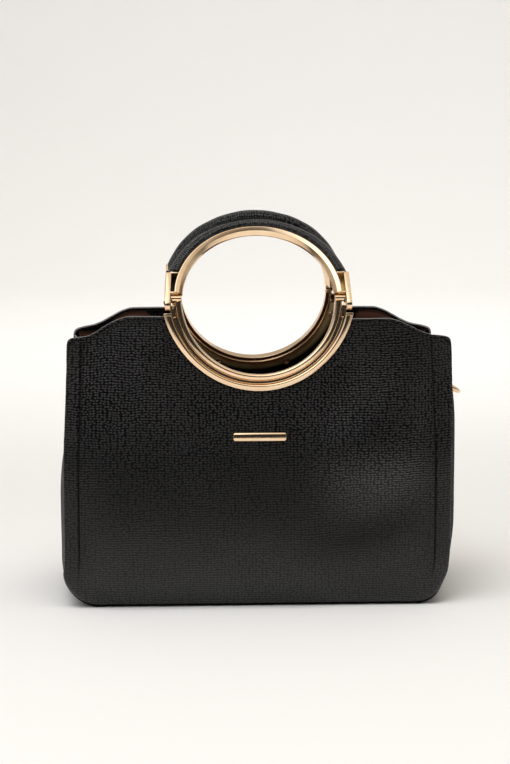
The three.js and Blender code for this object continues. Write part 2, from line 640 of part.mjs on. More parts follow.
// metal loop: straight bar through the tab's eye, two legs and a half-round end
function sideLoop(side, eye) {
  const path = [];
  const corner = 1.6;
  const barHalf = LOOP_HALF - corner;
  for (let k = 0; k <= 4; k += 1) path.push({ a: -barHalf + (2 * barHalf * k) / 4, d: 0 });
  for (let k = 1; k <= 3; k += 1) {
    const t = (k / 3) * 90 * DEG;
    path.push({ a: barHalf + corner * Math.sin(t), d: corner * (1 - Math.cos(t)) });
  }
  const arc = 10;
  for (let k = 0; k <= arc; k += 1) {
    const t = (k / arc) * Math.PI;
    path.push({ a: LOOP_HALF * Math.cos(t), d: LOOP_LEG + LOOP_HALF * Math.sin(t) });
  }
  for (let k = 3; k >= 1; k -= 1) {
    const t = (k / 3) * 90 * DEG;
    path.push({ a: -barHalf - corner * Math.sin(t), d: corner * (1 - Math.cos(t)) });
  }
  const tilt = LOOP_TILT[side > 0 ? 'right' : 'left'] * DEG;
  const down = V(Math.sin(tilt), 0, -Math.cos(tilt));
  const flat = V(Math.cos(tilt), 0, Math.sin(tilt));
  const along = V(0, 1, 0);
  const centre = path.map(({ a, d }) => V(eye.x, 0, eye.z)
    .addScaledVector(along, a).addScaledVector(down, d));
  const sides = 8;
  const n = centre.length;
  const points = [];
  const triangles = [];
  centre.forEach((p, i) => {
    const tangent = centre[(i + 1) % n].clone().sub(centre[(i + n - 1) % n]).normalize();
    const out = tangent.clone().cross(flat).normalize();
    for (let k = 0; k < sides; k += 1) {
      const t = (k / sides) * 2 * Math.PI;
      points.push(p.clone().addScaledVector(out, WIRE_R * Math.cos(t))
        .addScaledVector(flat, WIRE_R * Math.sin(t)));
    }
  });
  for (let i = 0; i < n; i += 1) {
    for (let k = 0; k < sides; k += 1) {
      const a = i * sides + k;
      const b = i * sides + ((k + 1) % sides);
      const c = ((i + 1) % n) * sides + ((k + 1) % sides);
      const d = ((i + 1) % n) * sides + k;
      triangles.push([a, b, c], [a, c, d]);
    }
  }
  const g = closedGeometry(points, triangles);
  return side > 0 ? g : g.rotateZ(Math.PI);
}

const BAR_Z = 124.5;
const BAR_SIZE = { length: 38, height: 6.4, thick: 1.6, corner: 1.6 };

// plain metal bar on the front wall
function frontBar() {
  const { length, height, thick, corner } = BAR_SIZE;
  const shape = new THREE.Shape();
  const a = length / 2;
  const b = height / 2;
  shape.moveTo(-a + corner, -b);
  shape.lineTo(a - corner, -b);
  shape.absarc(a - corner, -b + corner, corner, -Math.PI / 2, 0, false);
  shape.absarc(a - corner, b - corner, corner, 0, Math.PI / 2, false);
  shape.absarc(-a + corner, b - corner, corner, Math.PI / 2, Math.PI, false);
  shape.absarc(-a + corner, -b + corner, corner, Math.PI, Math.PI * 1.5, false);
  const g = new THREE.ExtrudeGeometry(shape, { depth: thick, bevelEnabled: false, curveSegments: 3 });
  const slope = (swollenDepth(0, BAR_Z + 1) - swollenDepth(0, BAR_Z - 1)) / 2;
  g.rotateX(Math.PI / 2 + Math.atan(slope));
  const foot = wallPoint(0, BAR_Z, PANEL_WALL / 2 + GAP + 0.1);
  return g.translate(foot.x, foot.y, foot.z);
}

// ---------------------------------------------------------------- the bag
const bag = new THREE.Group();
bag.name = 'handbag';

const turnedRound = new THREE.Group();
turnedRound.rotation.z = Math.PI;
bag.add(turnedRound);

bag.add(piece('front_panel', broadWall('front'), colours.leather));
turnedRound.add(piece('back_panel', broadWall('back'), colours.leather));
bag.add(piece('left_gusset', gusset(-1), colours.leather));
bag.add(piece('right_gusset', gusset(1), colours.leather));
bag.add(piece('base_panel', baseWall(), colours.leather));
bag.add(piece('lining', lining(), colours.lining));

bag.add(ringAssembly('front', FRONT_HANDLE_LEAN, -1));
turnedRound.add(ringAssembly('back', BACK_HANDLE_LEAN, 1));

for (const [word, side] of [['left', -1], ['right', 1]]) {
  const { geometry, eye } = sideTab(side);
  bag.add(piece(`${word}_loop_tab`, geometry, colours.leather));
  bag.add(piece(`${word}_loop`, sideLoop(side, eye), colours.gold));
}
bag.add(piece('front_bar', frontBar(), colours.gold));

export default bag;
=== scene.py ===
"""Looks of the handbag: leather walls, gussets, lining, padded grips, gold rings and their light.

Sizes are in millimetres, as in the part's own source, and become metres when a mesh is made.
-Y is the front, +X is to the right of someone looking at it, +Z is up.
"""

import math

import bpy
import numpy as np
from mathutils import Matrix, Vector
from mathutils.geometry import tessellate_polygon


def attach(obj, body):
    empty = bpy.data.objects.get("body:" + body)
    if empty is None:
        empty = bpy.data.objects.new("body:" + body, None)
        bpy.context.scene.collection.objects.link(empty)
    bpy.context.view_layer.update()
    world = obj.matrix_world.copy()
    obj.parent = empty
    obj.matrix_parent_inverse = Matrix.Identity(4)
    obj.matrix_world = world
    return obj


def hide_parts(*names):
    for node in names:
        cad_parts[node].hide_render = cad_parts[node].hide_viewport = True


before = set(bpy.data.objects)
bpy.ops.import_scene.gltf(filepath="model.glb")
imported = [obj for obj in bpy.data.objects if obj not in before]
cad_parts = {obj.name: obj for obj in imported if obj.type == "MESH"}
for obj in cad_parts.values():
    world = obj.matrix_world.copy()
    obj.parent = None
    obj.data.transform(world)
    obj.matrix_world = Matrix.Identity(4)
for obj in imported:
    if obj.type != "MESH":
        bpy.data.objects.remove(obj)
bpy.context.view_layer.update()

MM = 0.001
DEG = math.pi / 180

# ------------------------------------------------------------------ sizes shared with the part
GAP = 0.3
PANEL_WALL, GUSSET_WALL, BASE_WALL, LINING_WALL = 2.4, 2.0, 2.6, 1.0
HALF_WIDTH, PANEL_FOOT, CORNER_R, GUSSET_TOP = 138.0, 2.2, 23.5, 182.0
HINGE_Y, HINGE_Z, RING_LEAN = 41.0, 221.5, 14.0
FRONT_HANDLE_LEAN, BACK_HANDLE_LEAN = 38.5, 28.5
RING_IN, CUT_R, PLATE_R = 55.0, 59.3, 68.0
FLAT_ABOVE, FLAT_HALF, CURVE_LENGTH = 152.0, 70.0, 57.0
FOOT_CURVE, FOOT_TUCK, SIDE_PINCH = 40.0, 5.0, 14.0
EDGE_BAND, EDGE_TURN = 13.0, 4.0
TOP_EDGE_X = (57.0, 92.0, 99.0, 108.0, 117.0, 123.0, 130.5, 135.0, 137.2, 138.0)
TOP_EDGE_Z = (207.2, 207.2, 205.6, 201.4, 196.8, 194.8, 193.6, 192.4, 190.4, 187.0)
# how far a side edge stands out of its straight line, low down and at the top
EDGE_SHIFT = {("front", -1): (2.1, 0.0), ("front", 1): (0.0, 2.9), ("back", -1): (0.0, -2.0), ("back", 1): (0.0, -3.0)}
FOLD_Z = (0, 6, 16, 28, 75, 120, 151, 165, 184)
FOLD = {-1: (0, 1.4, 3.6, 5.6, 6.4, 1.5, -11.0, -16.0, -22.0),
        1: (0, 0.4, 2.4, 5.0, 9.0, 7.0, 0.0, -6.5, -17.0)}
LEAN_SLOPE = math.tan(RING_LEAN * DEG)
COS_LEAN = math.cos(RING_LEAN * DEG)
FLAT_FOOT = HINGE_Y + (HINGE_Z - FLAT_ABOVE) * LEAN_SLOPE
BAR_Z = 124.5
# swelling of the right third, which hangs in a slanting fold over a hollow
FOLDED_Z = (0, 25, 40, 50, 60, 72, 80, 90, 108, 126, 140, 152, 175, 200)
FOLDED = (0, 1.2, 2.7, 3.0, 2.4, 1.7, 1.9, 2.9, 5.6, 7.6, 8.3, 8.1, 4.8, 0)
BAND_LEFT, BAND_RIGHT = 10.8, 11.8       # turned band beside each side edge, as it lies
FOOT_ROLL = 1.9                         # how far the foot of a broad wall rolls under

# ------------------------------------------------------------------ small helpers


def smooth(t):
    c = np.clip(t, 0.0, 1.0)
    return c * c * (3 - 2 * c)


def hump(x, width):
    return np.exp(-(x / width) ** 2)


def curve_through(xs, ys, at):
    """A smooth curve through the rows of a table, with no overshoot."""
    xs, ys = np.asarray(xs, float), np.asarray(ys, float)
    h = np.diff(xs)
    d = np.diff(ys) / h
    m = np.zeros(len(xs))
    for i in range(1, len(xs) - 1):
        if d[i - 1] * d[i] > 0:
            a, b = 2 * h[i] + h[i - 1], h[i] + 2 * h[i - 1]
            m[i] = (a + b) / (a / d[i - 1] + b / d[i])
    m[0], m[-1] = d[0], d[-1]
    at = np.clip(at, xs[0], xs[-1])
    k = np.clip(np.searchsorted(xs, at) - 1, 0, len(xs) - 2)
    t = (at - xs[k]) / h[k]
    return ((1 + 2 * t) * (1 - t) ** 2 * ys[k] + t * (1 - t) ** 2 * h[k] * m[k]
            + t * t * (3 - 2 * t) * ys[k + 1] + t * t * (t - 1) * h[k] * m[k + 1])


class Piece:
    """Vertices, faces, material numbers and grain coordinates of one object."""

    def __init__(self):
        self.verts, self.faces, self.mats, self.grain, self.count = [], [], [], [], 0

    def add(self, verts, faces, mats=0, grain=None):
        verts = np.asarray(verts, float).reshape(-1, 3)
        self.verts.append(verts)
        self.grain.append(verts if grain is None else np.asarray(grain, float).reshape(-1, 3))
        self.faces.extend([[int(i) + self.count for i in f] for f in faces])
        self.mats.extend([mats] * len(faces) if isinstance(mats, int) else [int(m) for m in mats])
        self.count += len(verts)
        return self

    def make(self, name, body, slot, materials, nodes=(), sharp=None):
        mesh = bpy.data.meshes.new(name)
        verts = np.concatenate(self.verts)
        mesh.from_pydata((verts * MM).tolist(), [], self.faces)
        for m in materials:
            mesh.materials.append(m)
        mesh.polygons.foreach_set("material_index", np.asarray(self.mats, np.int32))
        mesh.polygons.foreach_set("use_smooth", np.ones(len(self.faces), bool))
        grain = mesh.attributes.new("grain", "FLOAT_VECTOR", "POINT")
        grain.data.foreach_set("vector", np.concatenate(self.grain).astype(np.float32).ravel())
        mesh.update()
        if sharp is not None:
            mesh.set_sharp_from_angle(angle=sharp * DEG)
        obj = bpy.data.objects.new(name, mesh)
        bpy.context.scene.collection.objects.link(obj)
        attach(obj, body)
        if nodes:
            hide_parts(*nodes)
        return obj


def quads(rows, cols, closed_rows=False, closed_cols=False):
    """Faces of a grid of rows x cols vertices."""
    i = np.arange(rows if closed_rows else rows - 1)
    j = np.arange(cols if closed_cols else cols - 1)
    a, b = np.meshgrid(i, j, indexing="ij")
    a2, b2 = (a + 1) % rows, (b + 1) % cols
    return np.stack([a * cols + b, a2 * cols + b, a2 * cols + b2, a * cols + b2], -1).reshape(-1, 4)


def shell(outer, inner, grain, mats, flip=False):
    """A closed wall from two skins whose rims coincide, so they share the rim's vertices.
    Returns vertices, faces, material numbers and grain for Piece.add()."""
    rows, cols = outer.shape[:2]
    index = np.full((rows, cols), -1)
    inside = np.zeros((rows, cols), bool)
    inside[1:-1, 1:-1] = True
    index[inside] = rows * cols + np.arange(inside.sum())
    own = np.arange(rows * cols).reshape(rows, cols)
    index[~inside] = own[~inside]
    front = quads(rows, cols)
    back = index.ravel()[front][:, ::-1]
    if flip:
        front, back = front[:, ::-1], back[:, ::-1]
    verts = np.concatenate([outer.reshape(-1, 3), inner[inside]])
    g = np.concatenate([grain.reshape(-1, 3), grain[inside]])
    m = np.asarray(mats).ravel()
    return verts, np.concatenate([front, back]), np.concatenate([m, m]), g


def fillet(profile, radius, steps=4):
    """A closed outline with each corner rounded."""
    p = np.asarray(profile, float)
    n = len(p)
    radii = radius if hasattr(radius, "__len__") else [radius] * n
    made = []
    for i in range(n):
        a, b, c = p[i - 1], p[i], p[(i + 1) % n]
        u, v = a - b, c - b
        lu, lv = np.linalg.norm(u), np.linalg.norm(v)
        u, v = u / lu, v / lv
        half = math.acos(max(-1.0, min(1.0, float(u @ v)))) / 2
        if radii[i] <= 0 or half > 89 * DEG:
            made.append(b)
            continue
        cut = min(radii[i] / math.tan(half), 0.46 * lu, 0.46 * lv)
        r = cut * math.tan(half)
        centre = b + (u + v) / np.linalg.norm(u + v) * (r / math.sin(half))
        start, end = b + u * cut - centre, b + v * cut - centre
        sweep = math.acos(max(-1.0, min(1.0, float(start @ end) / max(r * r, 1e-12))))
        for k in range(steps + 1):
            t = k / steps
            w = (math.sin((1 - t) * sweep) * start + math.sin(t * sweep) * end) / max(math.sin(sweep), 1e-9)
            made.append(centre + w)
    return np.asarray(made)


def sweep(profile, from_deg, to_deg, steps):
    """A closed (radius, axial) outline swept round the local Z axis. from_deg and to_deg are angles,
    or functions of the radius, so an end can be cut along a plane."""
    r, w = np.asarray(profile, float).T
    a0 = from_deg(r) if callable(from_deg) else np.full(len(r), from_deg)
    a1 = to_deg(r) if callable(to_deg) else np.full(len(r), to_deg)
    t = np.linspace(0, 1, steps + 1)[:, None]
    a = (a0 + (a1 - a0) * t) * DEG
    verts = np.stack([r * np.cos(a), r * np.sin(a), np.broadcast_to(w, a.shape)], -1)
    n = len(r)
    faces = quads(steps + 1, n, closed_cols=True)
    area = 0.5 * np.sum(r * np.roll(w, -1) - np.roll(r, -1) * w)
    caps = [list(range(n)), list(range(steps * n, steps * n + n))[::-1]]
    faces = [list(f) for f in faces]
    if area > 0:
        faces = [f[::-1] for f in faces]
    else:
        caps = [c[::-1] for c in caps]
    arc = np.broadcast_to(np.mean(r) * a, a.shape)
    around = np.concatenate([[0], np.cumsum(np.hypot(np.diff(r), np.diff(w)))])
    grain = np.stack([arc, np.broadcast_to(around, a.shape), np.zeros_like(a)], -1)
    return verts.reshape(-1, 3), faces + caps, grain.reshape(-1, 3)


def inset(outline, by):
    """An outline moved to its left by a distance."""
    p = np.asarray(outline, float)
    d1 = p - np.roll(p, 1, 0)
    d2 = np.roll(p, -1, 0) - p
    d1 /= np.maximum(np.linalg.norm(d1, axis=1, keepdims=True), 1e-9)
    d2 /= np.maximum(np.linalg.norm(d2, axis=1, keepdims=True), 1e-9)
    n = np.stack([-(d1 + d2)[:, 1], (d1 + d2)[:, 0]], 1)
    n /= np.maximum(np.linalg.norm(n, axis=1, keepdims=True), 1e-9)
    cosine = np.clip(n[:, 0] * -d2[:, 1] + n[:, 1] * d2[:, 0], 0.5, 1)[:, None]
    return p + n * by / cosine


def slab(outlines, low, high, bevel=0.3, steps=3):
    """A plate with rounded rims from outlines in a plane: the first runs anticlockwise, and any others are
    holes that run clockwise. Returns vertices as (u, v, height) and faces."""
    levels = []
    for k in range(steps + 1):
        a = k / steps * 90 * DEG
        levels.append((low + bevel * (1 - math.cos(a)), bevel * (1 - math.sin(a))))
    levels += [(low + high - h, b) for h, b in reversed(levels)]
    verts, faces, start, caps = [], [], 0, ([], [])
    for line in outlines:
        n = len(line)
        rings = [np.column_stack([inset(line, b), np.full(n, h)]) for h, b in levels]
        verts.extend(rings)
        faces.extend([[start + int(i) for i in f[::-1]] for f in quads(len(levels), n, closed_cols=True)])
        caps[0].append((rings[0], start))
        caps[1].append((rings[-1], start + (len(levels) - 1) * n))
        start += len(levels) * n
    for which, cap in enumerate(caps):
        numbers = [s + i for ring, s in cap for i in range(len(ring))]
        for tri in tessellate_polygon([[Vector(p) for p in ring] for ring, _ in cap]):
            a, b, c = (np.concatenate([ring for ring, _ in cap])[i] for i in tri)
            up = np.cross(b - a, c - a)[2] > 0
            tri = tri if up == (which == 1) else tri[::-1]
            faces.append([numbers[i] for i in tri])
    return np.concatenate(verts), faces


def lathe(profile, sides=32):
    """A closed body turned round the local X axis from (x, radius) rows."""
    p = np.asarray(profile, float)
    a = np.linspace(0, 2 * math.pi, sides, endpoint=False)
    verts = np.stack([np.broadcast_to(p[:, :1], (len(p), sides)), p[:, 1:] * np.cos(a), p[:, 1:] * np.sin(a)], -1)
    faces = [list(f) for f in quads(len(p), sides, closed_cols=True)]
    last = (len(p) - 1) * sides
    caps = [list(range(sides))[::-1], [last + i for i in range(sides)]]
    if p[-1, 0] < p[0, 0]:
        return verts.reshape(-1, 3), faces + [c[::-1] for c in caps]
    return verts.reshape(-1, 3), [f[::-1] for f in faces] + caps


def tube(path, radius, sides=14, closed=True):
    """A round bar along a closed path of points."""
    p = np.asarray(path, float)
    n = len(p)
    t = np.roll(p, -1, 0) - np.roll(p, 1, 0)
    t /= np.linalg.norm(t, axis=1, keepdims=True)
    flat = np.linalg.svd(p - p.mean(0))[2][2]
    side = np.cross(t, flat)
    a = np.linspace(0, 2 * math.pi, sides, endpoint=False)
    ring = radius * (side[:, None, :] * np.cos(a)[None, :, None] + flat[None, None, :] * np.sin(a)[None, :, None])
    verts = (p[:, None, :] + ring).reshape(-1, 3)
    faces = quads(n, sides, closed_rows=True, closed_cols=True)
    v = verts[faces[0]]
    outward = np.dot(np.cross(v[1] - v[0], v[2] - v[0]), v.mean(0) - p[0])
    return verts, faces if outward > 0 else faces[:, ::-1]


# ------------------------------------------------------------------ materials


class Nodes:
    """Short words for a material's node tree."""

    def __init__(self, name):
        self.material = bpy.data.materials.new(name)
        self.material.use_nodes = True
        self.tree = self.material.node_tree
        self.tree.nodes.clear()
        out = self.tree.nodes.new("ShaderNodeOutputMaterial")
        self.shader = self.tree.nodes.new("ShaderNodeBsdfPrincipled")
        self.tree.links.new(self.shader.outputs[0], out.inputs[0])

    def put(self, socket, value):
        if isinstance(value, bpy.types.NodeSocket):
            self.tree.links.new(value, socket)
        elif value is not None:
            socket.default_value = value

    def new(self, kind, inputs=None, **props):
        n = self.tree.nodes.new("ShaderNode" + kind)
        for k, v in props.items():
            setattr(n, k, v)
        for k, v in (inputs or {}).items():
            self.put(n.inputs[k], v)
        return n

    def math(self, op, a, b=None, c=None):
        n = self.new("Math", operation=op)
        for i, v in enumerate((a, b, c)):
            self.put(n.inputs[i], v)
        return n.outputs[0]

    def vec(self, op, a, b):
        n = self.new("VectorMath", operation=op)
        self.put(n.inputs[0], a)
        self.put(n.inputs[3 if op == "SCALE" else 1], b)
        return n.outputs[0]

    def noise(self, at, scale, detail=2.0, rough=0.5):
        return self.new("TexNoise", {"Vector": at, "Scale": scale, "Detail": detail, "Roughness": rough})

    def ramp(self, value, low, high, to_low=0.0, to_high=1.0, soft=True):
        n = self.new("MapRange", {0: value, 1: low, 2: high, 3: to_low, 4: to_high},
                     interpolation_type="SMOOTHSTEP" if soft else "LINEAR")
        return n.outputs[0]

    def blend(self, factor, a, b):
        n = self.new("Mix", data_type="RGBA")
        self.put(n.inputs[0], factor)
        self.put(n.inputs[6], (*a, 1) if isinstance(a, tuple) else a)
        self.put(n.inputs[7], (*b, 1) if isinstance(b, tuple) else b)
        return n.outputs[2]

    def set(self, **values):
        names = {"color": "Base Color", "rough": "Roughness", "metal": "Metallic", "spec": "Specular IOR Level",
                 "normal": "Normal", "sheen": "Sheen Weight", "coat": "Coat Weight", "coat_rough": "Coat Roughness",
                 "aniso": "Anisotropic"}
        for k, v in values.items():
            self.put(self.shader.inputs[names[k]], (*v, 1) if isinstance(v, tuple) and len(v) == 3 else v)
        return self.material


def leather(name, across=2.5, along=1.75, depth=0.42, warp=3.0, dark=(0.0016, 0.0015, 0.0016),
            pale=(0.0085, 0.0081, 0.0083), rough=(0.44, 0.27), rows=0.60, spec=0.57, foot_shade_lift=0.58, low=0.38):
    """Black leather with an embossed grain: wavy rows of short raised strokes, its bump less deep by a share towards
    the foot of a wall.
    Painted shade in the specular tint darkens the grain's valleys, less so towards the foot of a wall; the grain's
    third coordinate darkens it further as painted shade along creases and stitch lines, and brightens it as a painted
    highlight where it is negative."""
    n = Nodes(name)
    at = n.new("Attribute", attribute_name="grain", attribute_type="GEOMETRY").outputs["Vector"]
    coords = n.new("SeparateXYZ", {0: at}).outputs
    wide = n.vec("SUBTRACT", n.noise(at, 0.045, 1.0).outputs["Color"], (0.5, 0.5, 0.5))
    fine = n.vec("SUBTRACT", n.noise(at, 0.26, 1.0).outputs["Color"], (0.5, 0.5, 0.5))
    bent = n.vec("ADD", n.vec("ADD", at, n.vec("MULTIPLY", wide, (warp, warp, 0))),
                 n.vec("MULTIPLY", fine, (1.5, 1.3, 0)))
    cell = n.vec("MULTIPLY", bent, (1 / across, 1 / along, 0))
    spread = 0.52
    beads = n.new("TexVoronoi", {"Vector": cell, "Scale": 1.0, "Randomness": spread}, voronoi_dimensions="2D",
                  feature="F1").outputs["Distance"]
    bead = n.ramp(beads, 0.10, 0.66, 1.0, 0.0)
    height_row = n.new("SeparateXYZ", {0: cell}).outputs["Y"]
    turn = n.math("MULTIPLY", n.math("SUBTRACT", height_row, spread / 2), 2 * math.pi)
    row = n.math("MULTIPLY_ADD", n.math("COSINE", turn), 0.5, 0.5)
    place = n.ramp(n.noise(at, 0.016, 1.0).outputs["Fac"], 0.35, 0.65, rows - 0.2, rows + 0.2)
    mixed = n.new("Mix", data_type="FLOAT")
    n.put(mixed.inputs[0], place)
    n.put(mixed.inputs[2], bead)
    n.put(mixed.inputs[3], n.math("MULTIPLY_ADD", row, 0.62, n.math("MULTIPLY", bead, 0.38)))
    grain = mixed.outputs[0]
    pores = n.noise(at, 2.6, 2.0).outputs["Fac"]
    height = n.math("MULTIPLY", n.math("MULTIPLY_ADD", pores, 0.14, grain), n.ramp(coords["Y"], 95.0, 150.0, low, 1.0))
    bump = n.new("Bump", {"Height": height, "Strength": 1.0, "Distance": depth * MM}).outputs[0]
    patch = n.ramp(n.noise(at, 0.03, 3.0).outputs["Fac"], 0.3, 0.7)
    colour = n.blend(n.math("MULTIPLY_ADD", patch, 0.22, n.math("MULTIPLY", grain, 0.78)), dark, pale)
    gloss = n.ramp(n.math("MULTIPLY_ADD", patch, 0.2, n.math("MULTIPLY", grain, 0.8)), 0.05, 0.95, rough[0], rough[1])
    # painted shade: the specular tint darkens the grain's valleys and, through the third coordinate, creases and stitch
    # lines; towards the foot of a wall it is lifted to a floor level, and a negative third coordinate gives a painted
    # highlight
    floor = n.ramp(coords["Y"], 35.0, 150.0, foot_shade_lift, 0.04)
    open_to_light = n.ramp(n.math("MULTIPLY_ADD", patch, 0.08, grain), 0.36, 1.0)
    lit = n.math("ADD", floor, n.math("MULTIPLY", n.math("SUBTRACT", 1.0, floor), open_to_light))
    lit = n.math("MULTIPLY", lit, n.math("SUBTRACT", 1.0, coords["Z"]))
    tint = n.new("CombineXYZ", {0: lit, 1: lit, 2: lit}).outputs[0]
    n.put(n.shader.inputs["Specular Tint"], tint)
    return n.set(color=colour, rough=gloss, normal=bump, spec=spec)


def edge_paint_and_highlight(name):
    """Sealed cut edge of the leather: smoother and greyer, the grey partly a painted highlight along the rim."""
    n = Nodes(name)
    at = n.new("Attribute", attribute_name="grain", attribute_type="GEOMETRY").outputs["Vector"]
    spots = n.noise(at, 0.5, 3.0).outputs["Fac"]
    # partly painted highlight: the rim's grey is lighter than the black edge paint so that it reads as a bright line
    colour = n.blend(n.ramp(spots, 0.3, 0.7), (0.130, 0.124, 0.122), (0.210, 0.200, 0.196))
    bump = n.new("Bump", {"Height": spots, "Strength": 0.5, "Distance": 0.1 * MM}).outputs[0]
    return n.set(color=colour, rough=n.ramp(spots, 0.3, 0.7, 0.30, 0.42), normal=bump, spec=0.55)


def cloth(name):
    """Dark reddish brown woven lining."""
    n = Nodes(name)
    at = n.new("Attribute", attribute_name="grain", attribute_type="GEOMETRY").outputs["Vector"]
    part = n.new("SeparateXYZ", {0: n.vec("ADD", at, n.vec("MULTIPLY", n.noise(at, 0.4, 1.0).outputs["Color"], (0.3, 0.3, 0)))})
    warp = n.math("SINE", n.math("MULTIPLY", part.outputs["X"], 2 * math.pi / 0.9))
    weft = n.math("SINE", n.math("MULTIPLY", part.outputs["Y"], 2 * math.pi / 0.9))
    weave = n.math("MULTIPLY_ADD", n.math("MULTIPLY", warp, weft), 0.5, 0.5)
    tone = n.noise(at, 0.05, 3.0).outputs["Fac"]
    colour = n.blend(n.math("MULTIPLY_ADD", tone, 0.6, n.math("MULTIPLY", weave, 0.4)), (0.060, 0.021, 0.012), (0.150, 0.056, 0.033))
    bump = n.new("Bump", {"Height": weave, "Strength": 0.6, "Distance": 0.12 * MM}).outputs[0]
    return n.set(color=colour, rough=n.ramp(weave, 0, 1, 0.85, 0.7), normal=bump, sheen=0.15, spec=0.3)


def metal(name, pale, deep, rough=(0.10, 0.19), scratch=0.02, metallic=1.0, painted_shade_span=None):
    """Plated metal with slight unevenness and fine handling marks. Given two distances from the middle of the ring,
    painted shade turns it dark, with a weaker specular, between them, where the plate lies in shade inside the bag."""
    n = Nodes(name)
    at = n.new("Attribute", attribute_name="grain", attribute_type="GEOMETRY").outputs["Vector"]
    tone = n.noise(at, 0.09, 3.0).outputs["Fac"]
    rub = n.noise(n.vec("MULTIPLY", at, (0.25, 3.0, 3.0)), 1.0, 4.0, 0.65).outputs["Fac"]
    colour = n.blend(n.ramp(tone, 0.3, 0.7), pale, deep)
    gloss = n.ramp(n.math("MULTIPLY_ADD", rub, 0.6, n.math("MULTIPLY", tone, 0.4)), 0.3, 0.7, rough[0], rough[1])
    bump = n.new("Bump", {"Height": n.math("MULTIPLY_ADD", tone, 2.0, n.math("MULTIPLY", rub, 0.25)), "Strength": 0.35,
                          "Distance": scratch * MM}).outputs[0]
    # painted shade: colour and specular fall off between the two distances, standing in for the shade inside the bag
    if painted_shade_span:
        point = n.new("SeparateXYZ", {0: n.new("NewGeometry").outputs["Position"]}).outputs
        down = n.math("DIVIDE", n.math("SUBTRACT", HINGE_Z * MM, point["Z"]), math.cos(RING_LEAN * DEG))
        away = n.math("SQRT", n.math("MULTIPLY_ADD", down, down, n.math("MULTIPLY", point["X"], point["X"])))
        colour = n.blend(n.ramp(away, painted_shade_span[0] * MM, painted_shade_span[1] * MM), colour, (0.006, 0.005, 0.003))
        n.set(spec=n.ramp(away, painted_shade_span[0] * MM, painted_shade_span[1] * MM, 0.5, 0.06))
    return n.set(color=colour, rough=gloss, metal=metallic, normal=bump)


def thread(name):
    n = Nodes(name)
    at = n.new("Attribute", attribute_name="grain", attribute_type="GEOMETRY").outputs["Vector"]
    ply = n.new("TexWave", {"Vector": at, "Scale": 0.9, "Distortion": 0.6}, bands_direction="DIAGONAL").outputs["Fac"]
    colour = n.blend(ply, (0.007, 0.007, 0.007), (0.028, 0.027, 0.027))
    bump = n.new("Bump", {"Height": ply, "Strength": 0.7, "Distance": 0.08 * MM}).outputs[0]
    return n.set(color=colour, rough=n.ramp(ply, 0, 1, 0.6, 0.45), normal=bump, sheen=0.1)


LEATHER = leather("leather_grain")
SIDE_LEATHER = leather("side_leather", depth=0.30, rough=(0.6, 0.45), spec=0.12, low=0.8)
# the grips' paler colour is partly their leather and partly a painted highlight of their lit tops
GRIP_LEATHER = leather("grip_leather", across=2.6, along=1.7, depth=0.42, warp=1.2, rows=0.45, spec=1.0, foot_shade_lift=0.08, low=1.0,
                       pale=(0.034, 0.035, 0.038), rough=(0.40, 0.23))
EDGE_PAINT_AND_HIGHLIGHT = edge_paint_and_highlight("edge_paint_and_highlight")
CLOTH = cloth("lining_cloth")
GOLD = metal("pale_gold", (0.95, 0.73, 0.50), (0.91, 0.65, 0.42))
DULL_GOLD = metal("dark_gold", (0.76, 0.59, 0.26), (0.57, 0.42, 0.16), rough=(0.36, 0.52), scratch=0.08, metallic=0.5)
# the plate's outer band is painted shade: dark where it lies in the shade inside the bag
PLATE_GOLD = metal("plate_gold", (0.98, 0.74, 0.38), (0.82, 0.59, 0.27), rough=(0.36, 0.52), scratch=0.08, metallic=0.35,
                   painted_shade_span=(60.8, 66.6))
THREAD = thread("black_thread")

# ------------------------------------------------------------------ broad walls


def soft(panel, x, z):
    """Slow swelling and hollows of a stuffed leather wall, out of its plain form, in mm."""
    side = 1 if panel == "front" else -1
    r = np.hypot(x, z - HINGE_Z)
    clear = smooth((r - 78) / 40) * smooth((HALF_WIDTH - 9 - np.abs(x)) / 30) * smooth((z - 2) / 26)
    clear = clear * (1 - hump(x, 30) * hump(z - BAR_Z, 14))
    u = side * x
    right = smooth((u - 22) / 62)
    belly = 7.6 * hump(z - 50, 44) + 0.9 * hump(u + 95, 40) * hump(z - 78, 40)
    folded = curve_through(FOLDED_Z, FOLDED, z - 0.35 * (u - 90) * right)
    slack = 0.35 * np.sin(u / 19.0 + z / 31.0) * hump(z - 75, 60)
    swell = belly * (1 - right) + folded * right + slack
    return swell * clear


def half_depth(x, z, panel=None):
    """Distance of a broad wall's middle surface from the mid plane."""
    x, z = np.asarray(x, float), np.asarray(z, float)
    ax = np.abs(x)
    d = np.clip(FLAT_ABOVE - z, 0, CURVE_LENGTH)
    y = np.where(z >= FLAT_ABOVE, HINGE_Y + (HINGE_Z - z) * LEAN_SLOPE,
                 FLAT_FOOT + LEAN_SLOPE * (d - d * d / (2 * CURVE_LENGTH)))
    y = y - FOOT_TUCK * np.clip(1 - z / FOOT_CURVE, 0, None) ** 2.2
    across = np.clip((ax - FLAT_HALF) / (HALF_WIDTH - FLAT_HALF), 0, 1)
    y = y - SIDE_PINCH * (1 - np.cos(across * math.pi / 2)) * smooth((z - 95) / 112)
    wide = EDGE_BAND if panel is None else turned_band(x, z)
    band = np.clip((ax - (HALF_WIDTH - wide)) / wide, 0, 1)
    turn = band * band if panel is None else 0.55 * (np.sqrt(band * band + 0.004) - 0.0632) / 0.9388 + 0.45 * band * band
    y = y - EDGE_TURN * turn
    if panel is None:
        return y
    roll = np.clip(1 - (z - foot_height(x)) / 5.5, 0, 1)
    return y + soft(panel, x, z) - FOOT_ROLL * roll * roll


def turned_band(x, z):
    return np.where(x < 0, BAND_LEFT, BAND_RIGHT + 3.6 * smooth((z - 90) / 95))


